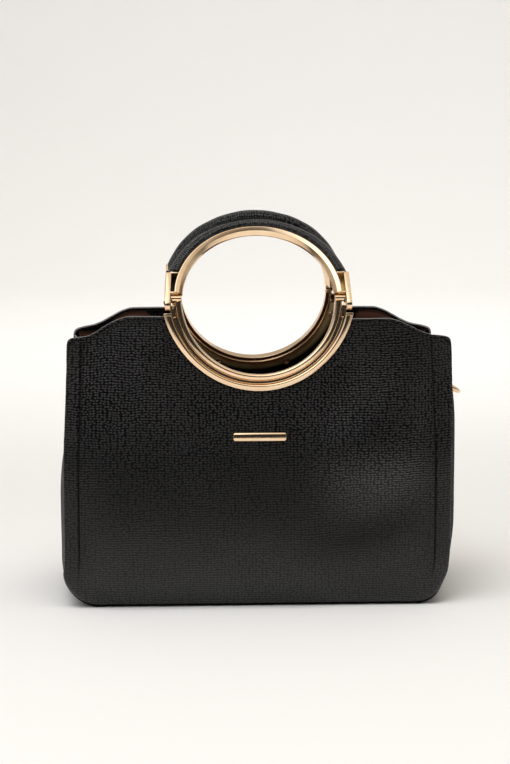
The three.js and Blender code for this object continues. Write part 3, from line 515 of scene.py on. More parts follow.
def edge_shift(panel, side, z):
    low, top = (np.where(side > 0, EDGE_SHIFT[panel, 1][k], EDGE_SHIFT[panel, -1][k]) for k in (0, 1))
    shift = (low + (top - low) * smooth((z - 90) / 95)) * smooth(z / 30)
    return shift + np.where(side > 0, -3.0, 1.5) * hump(z - 15, 14) * (panel == "front")


def wall_shift(panel, x, z):
    return np.sign(x) * edge_shift(panel, x, z) * smooth((np.abs(x) - FLAT_HALF) / (HALF_WIDTH - FLAT_HALF))


def wall_point(panel, x, z, offset):
    """Point on a broad wall at a distance out of its middle surface. x is the front wall's; the back
    wall is the same turned round."""
    e = 0.4
    y = half_depth(x, z, panel)
    dyx = (half_depth(x + e, z, panel) - half_depth(x - e, z, panel)) / (2 * e)
    dyz = (half_depth(x, z + e, panel) - half_depth(x, z - e, panel)) / (2 * e)
    n = np.stack([-dyx, -np.ones_like(dyx), -dyz], -1)
    n /= np.linalg.norm(n, axis=-1, keepdims=True)
    p = np.stack([x, -y, z], -1) + n * np.asarray(offset)[..., None]
    turned = 1 if panel == "front" else -1
    p[..., 0] += turned * wall_shift(panel, turned * x, z)
    if panel == "front":
        p[..., 2] += 2.2 * smooth((z - 140) / 60) * smooth((-x - 61) / 9) * (1 - smooth((-x - 108) / 16))
    return p * (turned, turned, 1)


def notch_height(x, radius):
    return HINGE_Z - COS_LEAN * np.sqrt(np.maximum(radius * radius - x * x, 0))


def top_height(x, radius=CUT_R):
    ax = np.abs(x)
    plain = curve_through(TOP_EDGE_X, TOP_EDGE_Z, ax)
    notch = notch_height(np.minimum(ax, radius), radius)
    return np.where((ax < radius) & (notch < plain), notch, plain)


def foot_height(x):
    past = np.clip(np.abs(x) - (HALF_WIDTH - CORNER_R), 0, CORNER_R)
    return PANEL_FOOT + CORNER_R - np.sqrt(CORNER_R ** 2 - past ** 2)


def panel_columns():
    opening = math.acos((HINGE_Z - TOP_EDGE_Z[0]) / COS_LEAN / CUT_R)
    right = [CUT_R * math.sin(opening * k / 52) for k in range(1, 53)]
    x = right[-1]
    right += list(np.arange(x + 0.6, 121.0, 1.25))
    right += list(np.arange(121.2, 131.2, 0.42))
    right += list(np.arange(131.6, 136.5, 0.7))
    right += [HALF_WIDTH - 1.2 * (1 - math.sin(a * DEG)) for a in (0, 15, 30, 45, 58, 70, 80, 90)]
    right = np.array(right)
    return np.concatenate([-right[::-1], [0], right])


PANEL_X = panel_columns()
FROM_TOP = np.array([0, 0.02, 0.08, 0.18, 0.33, 0.55, 0.85, 1.2, 1.6, 2.0, 2.4, 2.75, 3.1, 3.45, 3.8, 4.15, 4.5, 4.9, 5.5, 6.4])
FROM_FOOT = np.array([0, 0.03, 0.11, 0.25, 0.45, 0.75, 1.2, 1.9, 2.8])
BULL_R = PANEL_WALL / 2


def panel_grid():
    """x, z and distance to the rim over the wall's grid."""
    x = PANEL_X
    top, foot = top_height(x), foot_height(x)
    rows = []
    middle = np.linspace(0, 1, 100)[1:-1]
    for t in FROM_FOOT:
        rows.append(foot + t)
    lo, hi = foot + FROM_FOOT[-1], top - FROM_TOP[-1]
    for t in middle:
        rows.append(lo + (hi - lo) * t)
    for t in FROM_TOP[::-1]:
        rows.append(top - t)
    z = np.array(rows).T
    xx = np.repeat(x[:, None], z.shape[1], 1)
    slope = np.gradient(top, x)
    slope = np.where(np.abs(x) < 57.3, np.abs(x) / np.sqrt(np.maximum(CUT_R ** 2 - x ** 2, 1)) * COS_LEAN, slope)
    d_top = (top[:, None] - z) / np.sqrt(1 + slope[:, None] ** 2)
    cx, cz = HALF_WIDTH - CORNER_R, PANEL_FOOT + CORNER_R
    ax = np.abs(xx)
    corner = CORNER_R - np.hypot(np.maximum(ax - cx, 0), np.maximum(cz - z, 0))
    d_rest = np.where((ax > cx) & (z < cz), corner, np.minimum(HALF_WIDTH - ax, z - PANEL_FOOT))
    return xx, z, np.maximum(d_top, 0), np.maximum(d_rest, 0)


def crease_depth(panel, x, z):
    """Pressed lines a finger's width in from each side edge, with a small dart at the top."""
    fade = smooth((z - 14) / 30) * smooth((198 - z) / 4)
    line = HALF_WIDTH - turned_band(x, z)
    ax = np.abs(x)
    depth = 0.80 * hump(ax - line, 0.7) - 0.10 * hump(ax - line + 2.2, 1.3)
    leaf = 2.7 * np.sin(np.clip((z - 180.5) / 15.5, 0, 1) * math.pi) ** 1.2
    dart = 0.55 * hump(ax - line + leaf, 0.55) * (z > 180.5) * smooth((196.5 - z) / 3)
    if panel == "front":
        dart = dart * np.where(x < 0, 1.0, 0.35)
    return fade * depth + dart


def hem(panel, d_top, x):
    """Turned top hem: a rounded roll at the rim and the dip of its stitch line."""
    away = smooth((np.abs(x) - 57.5) / 4)
    return away * (0.28 * hump(d_top - 1.9, 1.0) - 0.48 * hump(d_top - 3.6, 0.6) + 0.22 * hump(d_top - 5.2, 1.0))


def broad_wall(panel):
    x, z, d_top, d_rest = panel_grid()
    d = np.minimum(d_top, d_rest)
    bull = np.sqrt(np.maximum(1 - (1 - np.minimum(d / BULL_R, 1)) ** 2, 0))
    detail = hem(panel, d_top, x) - crease_depth(panel, x, z)
    outer = wall_point(panel, x, z, BULL_R * bull + detail * np.minimum(bull, 1))
    inner = wall_point(panel, x, z, -BULL_R * bull)
    far = 0.0 if panel == "front" else 700.0
    along = z + 0.02 * (z - 152) * (z > 152)
    # painted shade: the third grain coordinate darkens the grain's specular along the creases and the hem's stitch line
    painted_shade_and_highlight = np.clip(crease_depth(panel, x, z) / 0.75, 0, 1) * 0.92
    painted_shade_and_highlight = np.maximum(painted_shade_and_highlight, 0.85 * smooth((np.abs(x) - 60) / 4) * hump(d_top - 3.4, 0.9))
    if panel == "front":
        # painted highlight: the grain's specular is brightened over the swelling at the right, and painted shade
        # darkens it in the hollow below
        painted_shade_and_highlight = painted_shade_and_highlight - 0.70 * hump(x - 94, 42) * hump(z - 96 - 0.12 * (x - 92), 25) * (painted_shade_and_highlight < 0.05)
        painted_shade_and_highlight = painted_shade_and_highlight + 0.28 * hump(x - 72, 40) * hump(z - 52 - 0.15 * (x - 72), 13) * (painted_shade_and_highlight < 0.05)
    grain = np.stack([x + far, along, painted_shade_and_highlight], -1)
    rim = (d[:-1, :-1] + d[1:, :-1] + d[:-1, 1:] + d[1:, 1:]) / 4 < 0.5
    rim &= (d_top[:-1, :-1] < d_rest[:-1, :-1])
    piece = Piece()
    return piece.add(*shell(outer, inner, grain, rim.astype(int)))


def outward(piece):
    """Turns the faces of a closed piece so that they point out."""
    verts = np.concatenate(piece.verts)
    volume = 0.0
    for size in {len(f) for f in piece.faces}:
        f = verts[np.array([f for f in piece.faces if len(f) == size])]
        for i in range(1, size - 1):
            volume += float(np.sum(f[:, 0] * np.cross(f[:, i], f[:, i + 1])))
    if volume < 0:
        piece.faces = [f[::-1] for f in piece.faces]
    return piece


for panel in ("front", "back"):
    outward(broad_wall(panel)).make(f"{panel}_wall", "bag", "leather", [LEATHER, EDGE_PAINT_AND_HIGHLIGHT], [f"{panel}_panel"])


# stitches of the top hem


def capsules(points, tangents, normals, length, radius, sides=8):
    """Short threads lying along a line of points."""
    t = np.array([-1, -0.86, -0.5, 0, 0.5, 0.86, 1.0])
    w = np.sqrt(np.maximum(1 - np.maximum(np.abs(t) - 0.55, 0) ** 2 / 0.45 ** 2, 0)) * 0.85 + 0.15
    w[[0, -1]] = 0.25
    a = np.linspace(0, 2 * math.pi, sides, endpoint=False)
    piece = Piece()
    faces = [list(f) for f in quads(len(t), sides, closed_cols=True)]
    faces += [list(range(sides))[::-1], [(len(t) - 1) * sides + i for i in range(sides)]]
    for p, u, n in zip(points, tangents, normals):
        v = np.cross(u, n)
        sink = -0.55 * radius * (np.abs(t) ** 2) * 1.6
        ring = (p + t[:, None, None] * u * length / 2 + sink[:, None, None] * n
                + (w * radius)[:, None, None] * (np.cos(a)[None, :, None] * v + np.sin(a)[None, :, None] * n))
        local = np.stack([np.broadcast_to(t[:, None] * length / 2, (len(t), sides)),
                          np.broadcast_to(a * radius, (len(t), sides)), np.zeros((len(t), sides))], -1)
        piece.add(ring, faces, 0, local)
    return piece


def hem_stitches(panel):
    pitch, length = 3.1, 2.5
    points, tangents, normals = [], [], []
    for side in (-1, 1):
        xs = np.linspace(68.5, 133.2, 900)
        zs = top_height(xs)
        slope = np.gradient(zs, xs)
        nx, nz = -slope / np.sqrt(1 + slope ** 2), 1 / np.sqrt(1 + slope ** 2)
        lx, lz = side * (xs - nx * 3.6), zs - nz * 3.6
        line = wall_point(panel, lx, lz, np.full(len(lx), BULL_R - 0.16))
        up = wall_point(panel, lx, lz, np.full(len(lx), BULL_R + 1.0)) - line
        run = np.concatenate([[0], np.cumsum(np.linalg.norm(np.diff(line, axis=0), axis=1))])
        for s in np.arange(1.5, run[-1] - 1.5, pitch):
            p = np.array([np.interp(s, run, line[:, i]) for i in range(3)])
            q = np.array([np.interp(s + 0.4, run, line[:, i]) for i in range(3)])
            n = np.array([np.interp(s, run, up[:, i]) for i in range(3)])
            u = (q - p) / np.linalg.norm(q - p)
            n = n - u * (n @ u)
            points.append(p)
            tangents.append(u)
            normals.append(n / np.linalg.norm(n))
    return capsules(points, tangents, normals, length, 0.34)


for panel in ("front", "back"):
    hem_stitches(panel).make(f"{panel}_hem_stitches", "bag", "leather", [THREAD])

# ------------------------------------------------------------------ gussets and base
GUSSET_EDGE = HALF_WIDTH - GAP
CORNER_X, CORNER_Z = GUSSET_EDGE - CORNER_R, CORNER_R


def fold_of(side, z):
    return curve_through(FOLD_Z, FOLD[side], z)


def fold_shape(s, z):
    plain = np.maximum(1 - s * s, 0) ** 1.5
    sharp = np.maximum(1 - np.sqrt(s * s + 0.002) + 0.0447, 0) ** 1.15
    k = 0.45 * smooth((z - 110) / 55)
    return plain * (1 - k) + np.minimum(sharp, 1) * k


def gusset_reach(x, z):
    return half_depth(x, z) - PANEL_WALL / 2 - 2 * GAP


def gusset_shift(side, s, z):
    return edge_shift("front", side, z) * (1 - s) / 2 + edge_shift("back", side, z) * (1 + s) / 2


def gusset_surface(side, x, z, nx, nz, s, inside, more=0.0):
    welt = (2.9 - 2.3 * smooth((z - 135) / 40) if side > 0 else 0.8 + 0.4 * smooth((z - 110) / 50)) * hump(s + 0.88, 0.10)
    welt = (welt + 0.8 * hump(s - 0.88, 0.10)) * smooth((z - 22) / 40)
    out = fold_of(side, z) * fold_shape(s, z) + welt - inside
    rise = 5.5 * smooth((np.abs(s) - 0.66) / 0.34) * smooth((z - 120) / (GUSSET_TOP - 120))
    return np.stack([side * (x + nx * out + gusset_shift(side, s, z)), s * (gusset_reach(x, z + rise) + more),
                     z + rise + nz * out], -1)


def gusset(side):
    down = np.concatenate([[0, 0.03, 0.12, 0.28, 0.5, 1.0, 1.6, 2.2, 2.7, 3.2, 3.7, 4.4], np.linspace(5.6, 160, 96)])
    z = GUSSET_TOP - down
    a = np.linspace(0, 88, 26)[1:] * DEG
    x = np.concatenate([np.full(len(z), GUSSET_EDGE), CORNER_X + CORNER_R * np.cos(a)])
    nx = np.concatenate([np.ones(len(z)), np.cos(a)])
    nz = np.concatenate([np.zeros(len(z)), -np.sin(a)])
    z = np.concatenate([z, CORNER_Z - CORNER_R * np.sin(a)])
    run = np.concatenate([down, 160 + a * CORNER_R])
    s = np.concatenate([[-1, -0.9995, -0.998, -0.995, -0.99, -0.982], np.sin(np.linspace(-75, 75, 61) * DEG) / math.sin(75 * DEG) * 0.972,
                        [0.982, 0.99, 0.995, 0.998, 0.9995, 1]])
    K = [np.repeat(v[:, None], len(s), 1) for v in (x, z, nx, nz, run)]
    S = np.repeat(s[None, :], len(x), 0)
    reach = gusset_reach(K[0], K[1])
    d_top = K[4]
    d = np.minimum(np.minimum((1 - np.abs(S)) * reach, d_top), run[-1] - K[4])
    bull = np.sqrt(np.maximum(1 - (1 - np.minimum(d / 1.0, 1)) ** 2, 0))
    detail = 0.25 * hump(d_top - 3.4, 0.6)
    outer = gusset_surface(side, *K[:4], S, 1.0 - bull + detail, 0.5)
    inner = gusset_surface(side, *K[:4], S, 1.0 + bull, 0.5)
    grain = np.stack([S * reach + 300 * side, -K[4], np.zeros_like(S)], -1)
    rim = (d[:-1, :-1] + d[1:, 1:]) / 2 < 0.4
    rim &= d_top[:-1, :-1] < 2
    return outward(Piece().add(*shell(outer, inner, grain, rim.astype(int))))


for word, side in (("left", -1), ("right", 1)):
    gusset(side).make(f"{word}_side", "bag", "leather", [SIDE_LEATHER, EDGE_PAINT_AND_HIGHLIGHT], [f"{word}_gusset"])


def gusset_stitches(side):
    s = np.linspace(-0.93, 0.93, 700)
    z = np.full(700, GUSSET_TOP - 3.4)
    one, zero = np.ones(700), np.zeros(700)
    x = one * GUSSET_EDGE
    line = gusset_surface(side, x, z, one, zero, s, zero + 0.12, 0.5)
    ahead = np.gradient(line, axis=0)
    ahead /= np.linalg.norm(ahead, axis=1, keepdims=True)
    up = np.cross(ahead, np.array([0, 0, 1.0]))
    up *= np.sign(up[:, :1] * side + 1e-9)
    run = np.concatenate([[0], np.cumsum(np.linalg.norm(np.diff(line, axis=0), axis=1))])
    at = np.arange(2, run[-1] - 2, 3.1)
    pick = np.searchsorted(run, at)
    normal = up[pick] / np.linalg.norm(up[pick], axis=1, keepdims=True)
    return capsules(line[pick], ahead[pick], normal, 2.5, 0.32)


for word, side in (("left", -1), ("right", 1)):
    gusset_stitches(side).make(f"{word}_side_stitches", "bag", "leather", [THREAD])

BASE_HALF_LENGTH = CORNER_X + CORNER_R * math.cos(88 * DEG) - GAP
BASE_HALF_DEPTH = float(gusset_reach(0.0, 0.8)) - GAP - FOOT_ROLL


def base_wall():
    def stations(half, n):
        near = np.array([0, 0.05, 0.2, 0.45, 0.8, 1.3])
        return np.concatenate([-half + near, np.linspace(-half + 2.4, half - 2.4, n), (half - near)[::-1]])
    xs, ys = stations(BASE_HALF_LENGTH, 60), stations(BASE_HALF_DEPTH, 32)
    x, y = np.meshgrid(xs, ys, indexing="ij")
    d = np.minimum(BASE_HALF_LENGTH - np.abs(x), BASE_HALF_DEPTH - np.abs(y))
    bull = np.sqrt(np.maximum(1 - (1 - np.minimum(d / (BASE_WALL / 2), 1)) ** 2, 0))
    sag = 0.35 * hump(x, 90) * hump(y, 40)
    upper = np.stack([x, y, BASE_WALL / 2 * (1 + bull) - sag * bull], -1)
    lower = np.stack([x, y, BASE_WALL / 2 * (1 - bull)], -1)
    grain = np.stack([x + 1500, y, np.zeros_like(x)], -1)
    mats = np.zeros((len(xs) - 1, len(ys) - 1), int)
    return outward(Piece().add(*shell(lower, upper, grain, mats)))


base_wall().make("base_wall", "bag", "leather", [LEATHER], ["base_panel"])

# ------------------------------------------------------------------ lining
LINING_DROP, LINING_CLEAR = 2.6, 1.6
LINING_NOTCH = PLATE_R + 1.4
LINING_FOOT = BASE_WALL + 2 * GAP
FACING_R = 83.0                  # leather facing round the ring, over the lining


def lining_half_width(z):
    r = CORNER_R - GUSSET_WALL - LINING_CLEAR
    below = np.maximum(0, CORNER_R - z)
    return CORNER_X + np.sqrt(np.maximum(0, r * r - below * below))


def lining_top(x):
    ax = np.abs(x)
    plain = np.minimum(curve_through(TOP_EDGE_X, TOP_EDGE_Z, ax) - LINING_DROP, 190.0)
    plain = np.where(ax < 100, TOP_EDGE_Z[0] - LINING_DROP, plain + (TOP_EDGE_Z[0] - LINING_DROP - 190.0)
                     * smooth((116 - ax) / 16))
    plain = np.minimum(plain, curve_through(TOP_EDGE_X, TOP_EDGE_Z, ax) - LINING_DROP)
    notch = notch_height(np.minimum(ax, LINING_NOTCH), LINING_NOTCH)
    return np.where((ax < LINING_NOTCH) & (notch < plain), notch, plain)


def lining():
    opening = math.acos((HINGE_Z - TOP_EDGE_Z[0] + LINING_DROP) / COS_LEAN / LINING_NOTCH)
    right = [LINING_NOTCH * math.sin(opening * k / 36) for k in range(1, 37)]
    right += list(np.arange(right[-1] + 0.8, 133.0, 1.8)) + [133.4]
    broad = np.concatenate([-np.array(right)[::-1], [0], right])
    t = np.concatenate([[0], np.linspace(0.004, 1, 72) ** 0.93])
    edge = GUSSET_EDGE - GUSSET_WALL - LINING_CLEAR
    s = np.sin(np.linspace(-67, 67, 41) * DEG)
    columns, facing, marks = [], [], []

    def wall(sign, xs):
        panel = "front" if sign < 0 else "back"
        top = lining_top(xs)[:, None]
        z = LINING_FOOT + (top - LINING_FOOT) * t
        x = xs[:, None] * lining_half_width(z) / edge
        near = smooth((FACING_R - np.hypot(x, z - HINGE_Z)) / 1.2)
        folds = 0.5 * np.sin(x / 11.0 + np.sin(z / 23.0) * 1.4) * smooth((z - 20) / 40) * smooth((185 - z) / 30) * (1 - near)
        y = half_depth(x, z) + np.minimum(soft(panel, -sign * x, z), 0) \
            - (PANEL_WALL / 2 + 1.0 + 0.55 + folds) / COS_LEAN
        return np.stack([x + wall_shift(panel, x, z), sign * y, z], -1), near, np.stack([x + 40 * sign, z, 0 * z], -1)

    def side(sign, ss):
        z = np.broadcast_to(LINING_FOOT + (GUSSET_TOP - 1 - LINING_FOOT) * t, (len(ss), len(t)))
        S = np.repeat(ss[:, None], len(t), 1)
        fold = fold_of(sign, z) * fold_shape(S, z)
        x = lining_half_width(z) + fold + gusset_shift(sign, S, z) - 0.3
        p = np.stack([sign * x, S * (gusset_reach(GUSSET_EDGE, z) - 0.3), z], -1)
        return p, np.zeros_like(z), np.stack([S * 60 + 300 * sign, z, 0 * z], -1)

    for made in (wall(-1, broad), side(1, s), wall(1, broad[::-1]), side(-1, s[::-1])):
        columns.append(made[0]); facing.append(made[1]); marks.append(made[2])
    outer, near, grain = np.concatenate(columns), np.concatenate(facing), np.concatenate(marks)
    n, rows = outer.shape[:2]
    step = np.roll(outer, -1, 0) - np.roll(outer, 1, 0)
    inward = np.stack([-step[..., 1], step[..., 0], np.zeros((n, rows))], -1)
    inward /= np.linalg.norm(inward, axis=-1, keepdims=True)
    thick = LINING_WALL * np.minimum(1, 0.25 + (rows - 1 - np.arange(rows)) * 0.75)[None, :] + 0.9 * near
    inner = outer + inward * thick[..., None]
    inner[:, 0, 2] += LINING_WALL
    piece = Piece()
    faces = quads(n, rows, closed_rows=True)
    black = (near > 0.5)[faces // rows, faces % rows].mean(1) > 0.5
    ring = np.arange(n)
    rim = np.stack([ring * rows + rows - 1, (ring + 1) % n * rows + rows - 1,
                    n * rows + (ring + 1) % n * rows + rows - 1, n * rows + ring * rows + rows - 1], -1)
    black_rim = near[:, -1] > 0.5
    under = 2 * n * rows
    floor = [[under, (i + 1) % n * rows, i * rows] for i in range(n)]
    floor += [[under + 1, n * rows + i * rows, n * rows + (i + 1) % n * rows] for i in range(n)]
    verts = np.concatenate([outer.reshape(-1, 3), inner.reshape(-1, 3), [[0, 0, LINING_FOOT], [0, 0, LINING_FOOT + LINING_WALL]]])
    g = np.concatenate([grain.reshape(-1, 3), grain.reshape(-1, 3), [[0, 0, 0], [0, 0, 0]]])
    all_faces = [list(f) for f in faces] + [list(f) for f in (faces + n * rows)[:, ::-1]] + [list(f) for f in rim[:, ::-1]] + floor
    mats = np.concatenate([black, black, black_rim, np.zeros(2 * n, bool)]).astype(int)
    piece.add(verts, all_faces, mats, g)
    return outward(piece)


lining().make("lining_pouch", "bag", "lining", [CLOTH, LEATHER], ["lining"])

# ------------------------------------------------------------------ ring hardware
HALF_AXIAL, END_CLEAR, KNUCKLE_R, PIN_R = 4.8, 2.9, 2.3, 1.2
EAR_IN, EAR_OUT, CHEEK_IN, CHEEK_OUT = 61.6, 62.8, 63.4, 67.2
CHEEK_TOP, CHEEK_TIP, FLANGE_CUT = 21.5, 9.6, 11.4
ARC = 168
FLANGE_R, FLANGE_RISE = 70.15, 4.4   # outer circle of the flange, and its centre above the hinge


def placed(verts, which, lean):
    """From a ring's own frame (X hinge, Y up in its plane, Z out) to the bag's."""
    x, y, z = np.asarray(verts, float).T
    s, c = math.sin(lean * DEG), math.cos(lean * DEG)
    p = np.stack([x, -HINGE_Y + y * s - z * c, HINGE_Z + y * c + z * s], -1)
    return p if which == "front" else p * (-1, -1, 1)


def at_height(h):
    """Angle at which a circle of each radius reaches a height."""
    return lambda r: np.arcsin(np.clip(h / r, -1, 1)) / DEG


def add_part(piece, made, which, lean, mats=0):
    verts, faces = made[0], made[1]
    grain = made[2] if len(made) > 2 else verts
    piece.add(placed(verts, which, lean), faces, mats, grain)


def both_sides(made):
    """A part on +X and its mirror image on -X."""
    verts, faces = made[0], made[1]
    return [(verts, faces), (np.asarray(verts) * (-1, 1, 1), [list(f)[::-1] for f in faces])]


def rod(x0, x1, radius, bore=0.0, sides=32):
    """A round bar or sleeve along the hinge with eased ends."""
    e = min(0.25, radius / 4)
    if bore:
        loop = [(x0, bore), (x0, radius - e), (x0 + e, radius), (x1 - e, radius), (x1, radius - e), (x1, bore)]
        p = np.asarray(loop)
        a = np.linspace(0, 2 * math.pi, sides, endpoint=False)
        verts = np.stack([np.broadcast_to(p[:, :1], (len(p), sides)), p[:, 1:] * np.cos(a), p[:, 1:] * np.sin(a)], -1)
        return verts.reshape(-1, 3), [list(f)[::-1] for f in quads(len(p), sides, closed_rows=True, closed_cols=True)]
    dome = [(x0, 0.05), (x0 + 0.02, radius * 0.45), (x0 + 0.12, radius * 0.8), (x0 + 0.35, radius),
            (x1 - 0.35, radius), (x1 - 0.12, radius * 0.8), (x1 - 0.02, radius * 0.45), (x1, 0.05)]
    return lathe(dome, sides)


def plate_yz(outlines, x0, x1, bevel):
    """A plate lying square to the hinge, from outlines of (y, z)."""
    v, f = slab(outlines, x0, x1, bevel)
    return v[:, [2, 0, 1]], f


def block(lo, hi, bevel=0.25):
    """A small bar with eased edges."""
    outline = fillet([(lo[1], lo[2]), (hi[1], lo[2]), (hi[1], hi[2]), (lo[1], hi[2])], bevel, 3)
    return plate_yz([outline], lo[0], hi[0], bevel)


def circle(cy, cz, r, n=32, clockwise=False):
    a = np.linspace(0, 2 * math.pi, n, endpoint=False)
    p = np.stack([cy + r * np.cos(a), cz + r * np.sin(a)], 1)
    return p[::-1] if clockwise else p


RIM_SECTION = fillet([(55.0, -4.2), (55.0, 2.6), (55.6, 4.2), (57.2, 4.7), (59.3, 4.0), (60.1, 2.4), (60.1, 1.5), (58.9, 1.0), (58.9, -5.5),
                      (57.8, -5.5), (57.6, -4.3), (55.4, -4.5)],
                     [0.3, 1.2, 1.6, 1.6, 1.0, 0.2, 0.1, 0.1, 0.45, 0.5, 0.15, 0.3], 5)
FLANGE_SECTION = fillet([(58.6, 1.5), (58.6, 2.2), (60.2, 2.2), (61.9, 2.3), (63.2, 4.3), (64.3, 4.7), (65.7, 3.9), (66.3, 3.4), (67.2, 2.6), (67.2, 1.5)],
                        [0.1, 0.1, 0.4, 0.5, 1.0, 1.2, 1.4, 0.5, 0.4, 0.25], 5)
ARCH_SECTION = fillet([(58.2, -4.8), (57.6, -4.0), (56.2, -1.5), (54.2, 0.4), (54.9, 1.8), (56.9, 4.0), (59.5, 4.75), (60.3, 4.75), (60.3, -4.8)],
                      [0.3, 0.4, 2.0, 0.7, 0.6, 0.3, 0.3, 0.3, 0.6], 5)
GRIP_SECTION = np.array([(60.5, -5.7), (60.5, 5.7)] + [(61.1 + 7.2 * math.cos(t), 6.4 * math.sin(t)) for t in np.linspace(86, -86, 41) * DEG])
PLATE_SECTION = fillet([(59.4, -3.0), (59.4, -1.6), (PLATE_R, -1.6), (PLATE_R, -3.0)], 0.35, 3)
SCREW_ANGLES, SCREW_CIRCLE = (-72, -24, 24, 72), 63.6


def lower_ring(which):
    piece = Piece()
    lean = RING_LEAN
    low = at_height(END_CLEAR)
    add_part(piece, sweep(RIM_SECTION, lambda r: 180 + low(r), lambda r: 360 - low(r), ARC), which, lean)
    cut = at_height(FLANGE_CUT)
    verts, faces, grain = sweep(FLANGE_SECTION, lambda r: 180 + cut(r), lambda r: 360 - cut(r), ARC)
    r = np.hypot(verts[:, 0], verts[:, 1])
    rise = FLANGE_RISE * verts[:, 1] / r
    rim = rise + np.sqrt(FLANGE_R ** 2 - FLANGE_RISE ** 2 + rise ** 2)
    spread = np.where(r > 60.2, 60.2 + (r - 60.2) * (rim - 60.2) / (67.2 - 60.2), r) / r
    add_part(piece, (verts * np.stack([spread, np.ones_like(r), np.ones_like(r)], 1), faces, grain), which, lean)
    parts = both_sides(rod(55.2, EAR_OUT, KNUCKLE_R, PIN_R + GAP))
    parts += both_sides(block((55.25, -5.0, -KNUCKLE_R), (58.7, -1.7, KNUCKLE_R)))
    hole = circle(0, 0, PIN_R + GAP, 24, clockwise=True)
    ear = fillet([(-14.0, 1.6), (-7.0, 1.6), (-7.0, -2.2), (2.3, -2.2), (2.3, 2.2), (-3.5, 2.2), (-5.5, 3.0), (-14.0, 3.0)],
                 [0.3, 1.5, 0.6, 2.1, 2.1, 0.8, 0.8, 0.3], 5)
    parts += both_sides(plate_yz([ear, hole], EAR_IN, EAR_OUT, 0.2))
    parts += both_sides(block((59.4, -14.0, 1.2), (61.9, -5.2, 2.8), 0.3))
    parts += both_sides(block((62.4, -FLANGE_CUT - 1.8, 1.6), (67.8, -FLANGE_CUT + 0.1, 4.7), 0.35))
    for made in parts:
        add_part(piece, made, which, lean)
    return piece


def handle_arch(which, lean):
    piece = Piece()
    low = at_height(END_CLEAR)
    add_part(piece, sweep(ARCH_SECTION, lambda r: low(r), lambda r: 180 - low(r), ARC), which, lean)
    cheek_top = CHEEK_TOP - (1.2 if which == "front" else 2.4)
    rows = [2.6 + (cheek_top - 3.0) * k / 12 for k in range(13)]
    web = [(math.sqrt(59.4 ** 2 - y * y), y) for y in rows] + [(CHEEK_IN + 0.4, rows[-1]), (CHEEK_IN + 0.4, rows[0])]
    web_area = 0.5 * sum(a[0] * b[1] - b[0] * a[1] for a, b in zip(web, web[1:] + web[:1]))
    web = np.asarray(web if web_area > 0 else web[::-1])
    half = 4.2
    cheek = [(half - CHEEK_TIP + half * math.cos(a), half * math.sin(a)) for a in np.linspace(90, 270, 22) * DEG]
    top = fillet([(cheek_top, half), (half - CHEEK_TIP, half), (half - CHEEK_TIP, -half), (cheek_top, -half)], [0.7, 0, 0, 0.7], 4)
    corner_a = [p for p in top if p[1] > 0 and p[0] > 0]
    corner_b = [p for p in top if p[1] < 0 and p[0] > 0]
    outline = np.array(corner_a + cheek + corner_b)
    area = 0.5 * np.sum(outline[:, 0] * np.roll(outline[:, 1], -1) - np.roll(outline[:, 0], -1) * outline[:, 1])
    if area < 0:
        outline = outline[::-1]
    hole = circle(0, 0, PIN_R + GAP, 24, clockwise=True)
    verts, faces = plate_yz([outline, hole], CHEEK_IN, CHEEK_OUT, 0.45)
    verts = verts - np.stack([0.06 * np.maximum(verts[:, 1], 0), 0 * verts[:, 1], 0 * verts[:, 1]], 1)
    parts = both_sides((verts, faces))
    parts += both_sides(block((57.0, cheek_top - 1.1, -4.3), (CHEEK_IN - 0.4, cheek_top + 0.2, 4.5), 0.3))
    parts += both_sides(block((57.4, 2.45, -4.3), (CHEEK_IN + 0.6, 3.6, 4.3), 0.3))
    for made in parts:
        add_part(piece, made, which, lean)
    # painted shade: the web on one side of each arch is black leather, a dark piece standing for the pocket in shade;
    # the other web is dull gold
    for made, mat in zip(both_sides(slab([web], -4.7, -3.3, 0.2)), (1, 2)):
        add_part(piece, made, which, lean, mat)
    return piece


def handle_grip(which, lean):
    """Padded sleeve: plump in the middle of its length, eased at its ends."""
    foot = CHEEK_TOP - (0.7 if which == "front" else 1.9)
    steps = 190
    r, w = GRIP_SECTION.T
    t = np.linspace(0, 1, steps + 1)[:, None]
    first = np.arcsin(foot / r)[None, :]
    a = first + (math.pi - 2 * first) * t
    near = np.minimum(t, 1 - t) * (math.pi - 2 * first.mean()) * 64
    ease = 1 - 0.12 * (1 - smooth(near / 1.8))
    swell = 0.14 * np.sin(a * 9.0 + 0.6) + 0.08 * np.sin(a * 23.0)
    rr = 60.5 + (r[None, :] - 60.5) * ease + swell * (r[None, :] > 62)
    ww = w[None, :] * ease ** 0.5 + 0.05 * np.sin(a * 17.0)
    verts = np.stack([rr * np.cos(a), rr * np.sin(a), ww], -1)
    n = len(r)
    faces = [list(f)[::-1] for f in quads(steps + 1, n, closed_cols=True)]
    caps = [list(range(n)), [steps * n + i for i in range(n)][::-1]]
    around = np.concatenate([[0], np.cumsum(np.hypot(np.diff(r), np.diff(w)))])
    grain = np.stack([np.broadcast_to(around, rr.shape), a * 64, np.zeros_like(rr)], -1)
    piece = Piece()
    add_part(piece, (verts.reshape(-1, 3), faces + caps, grain.reshape(-1, 3)), which, lean)
    return outward(piece)


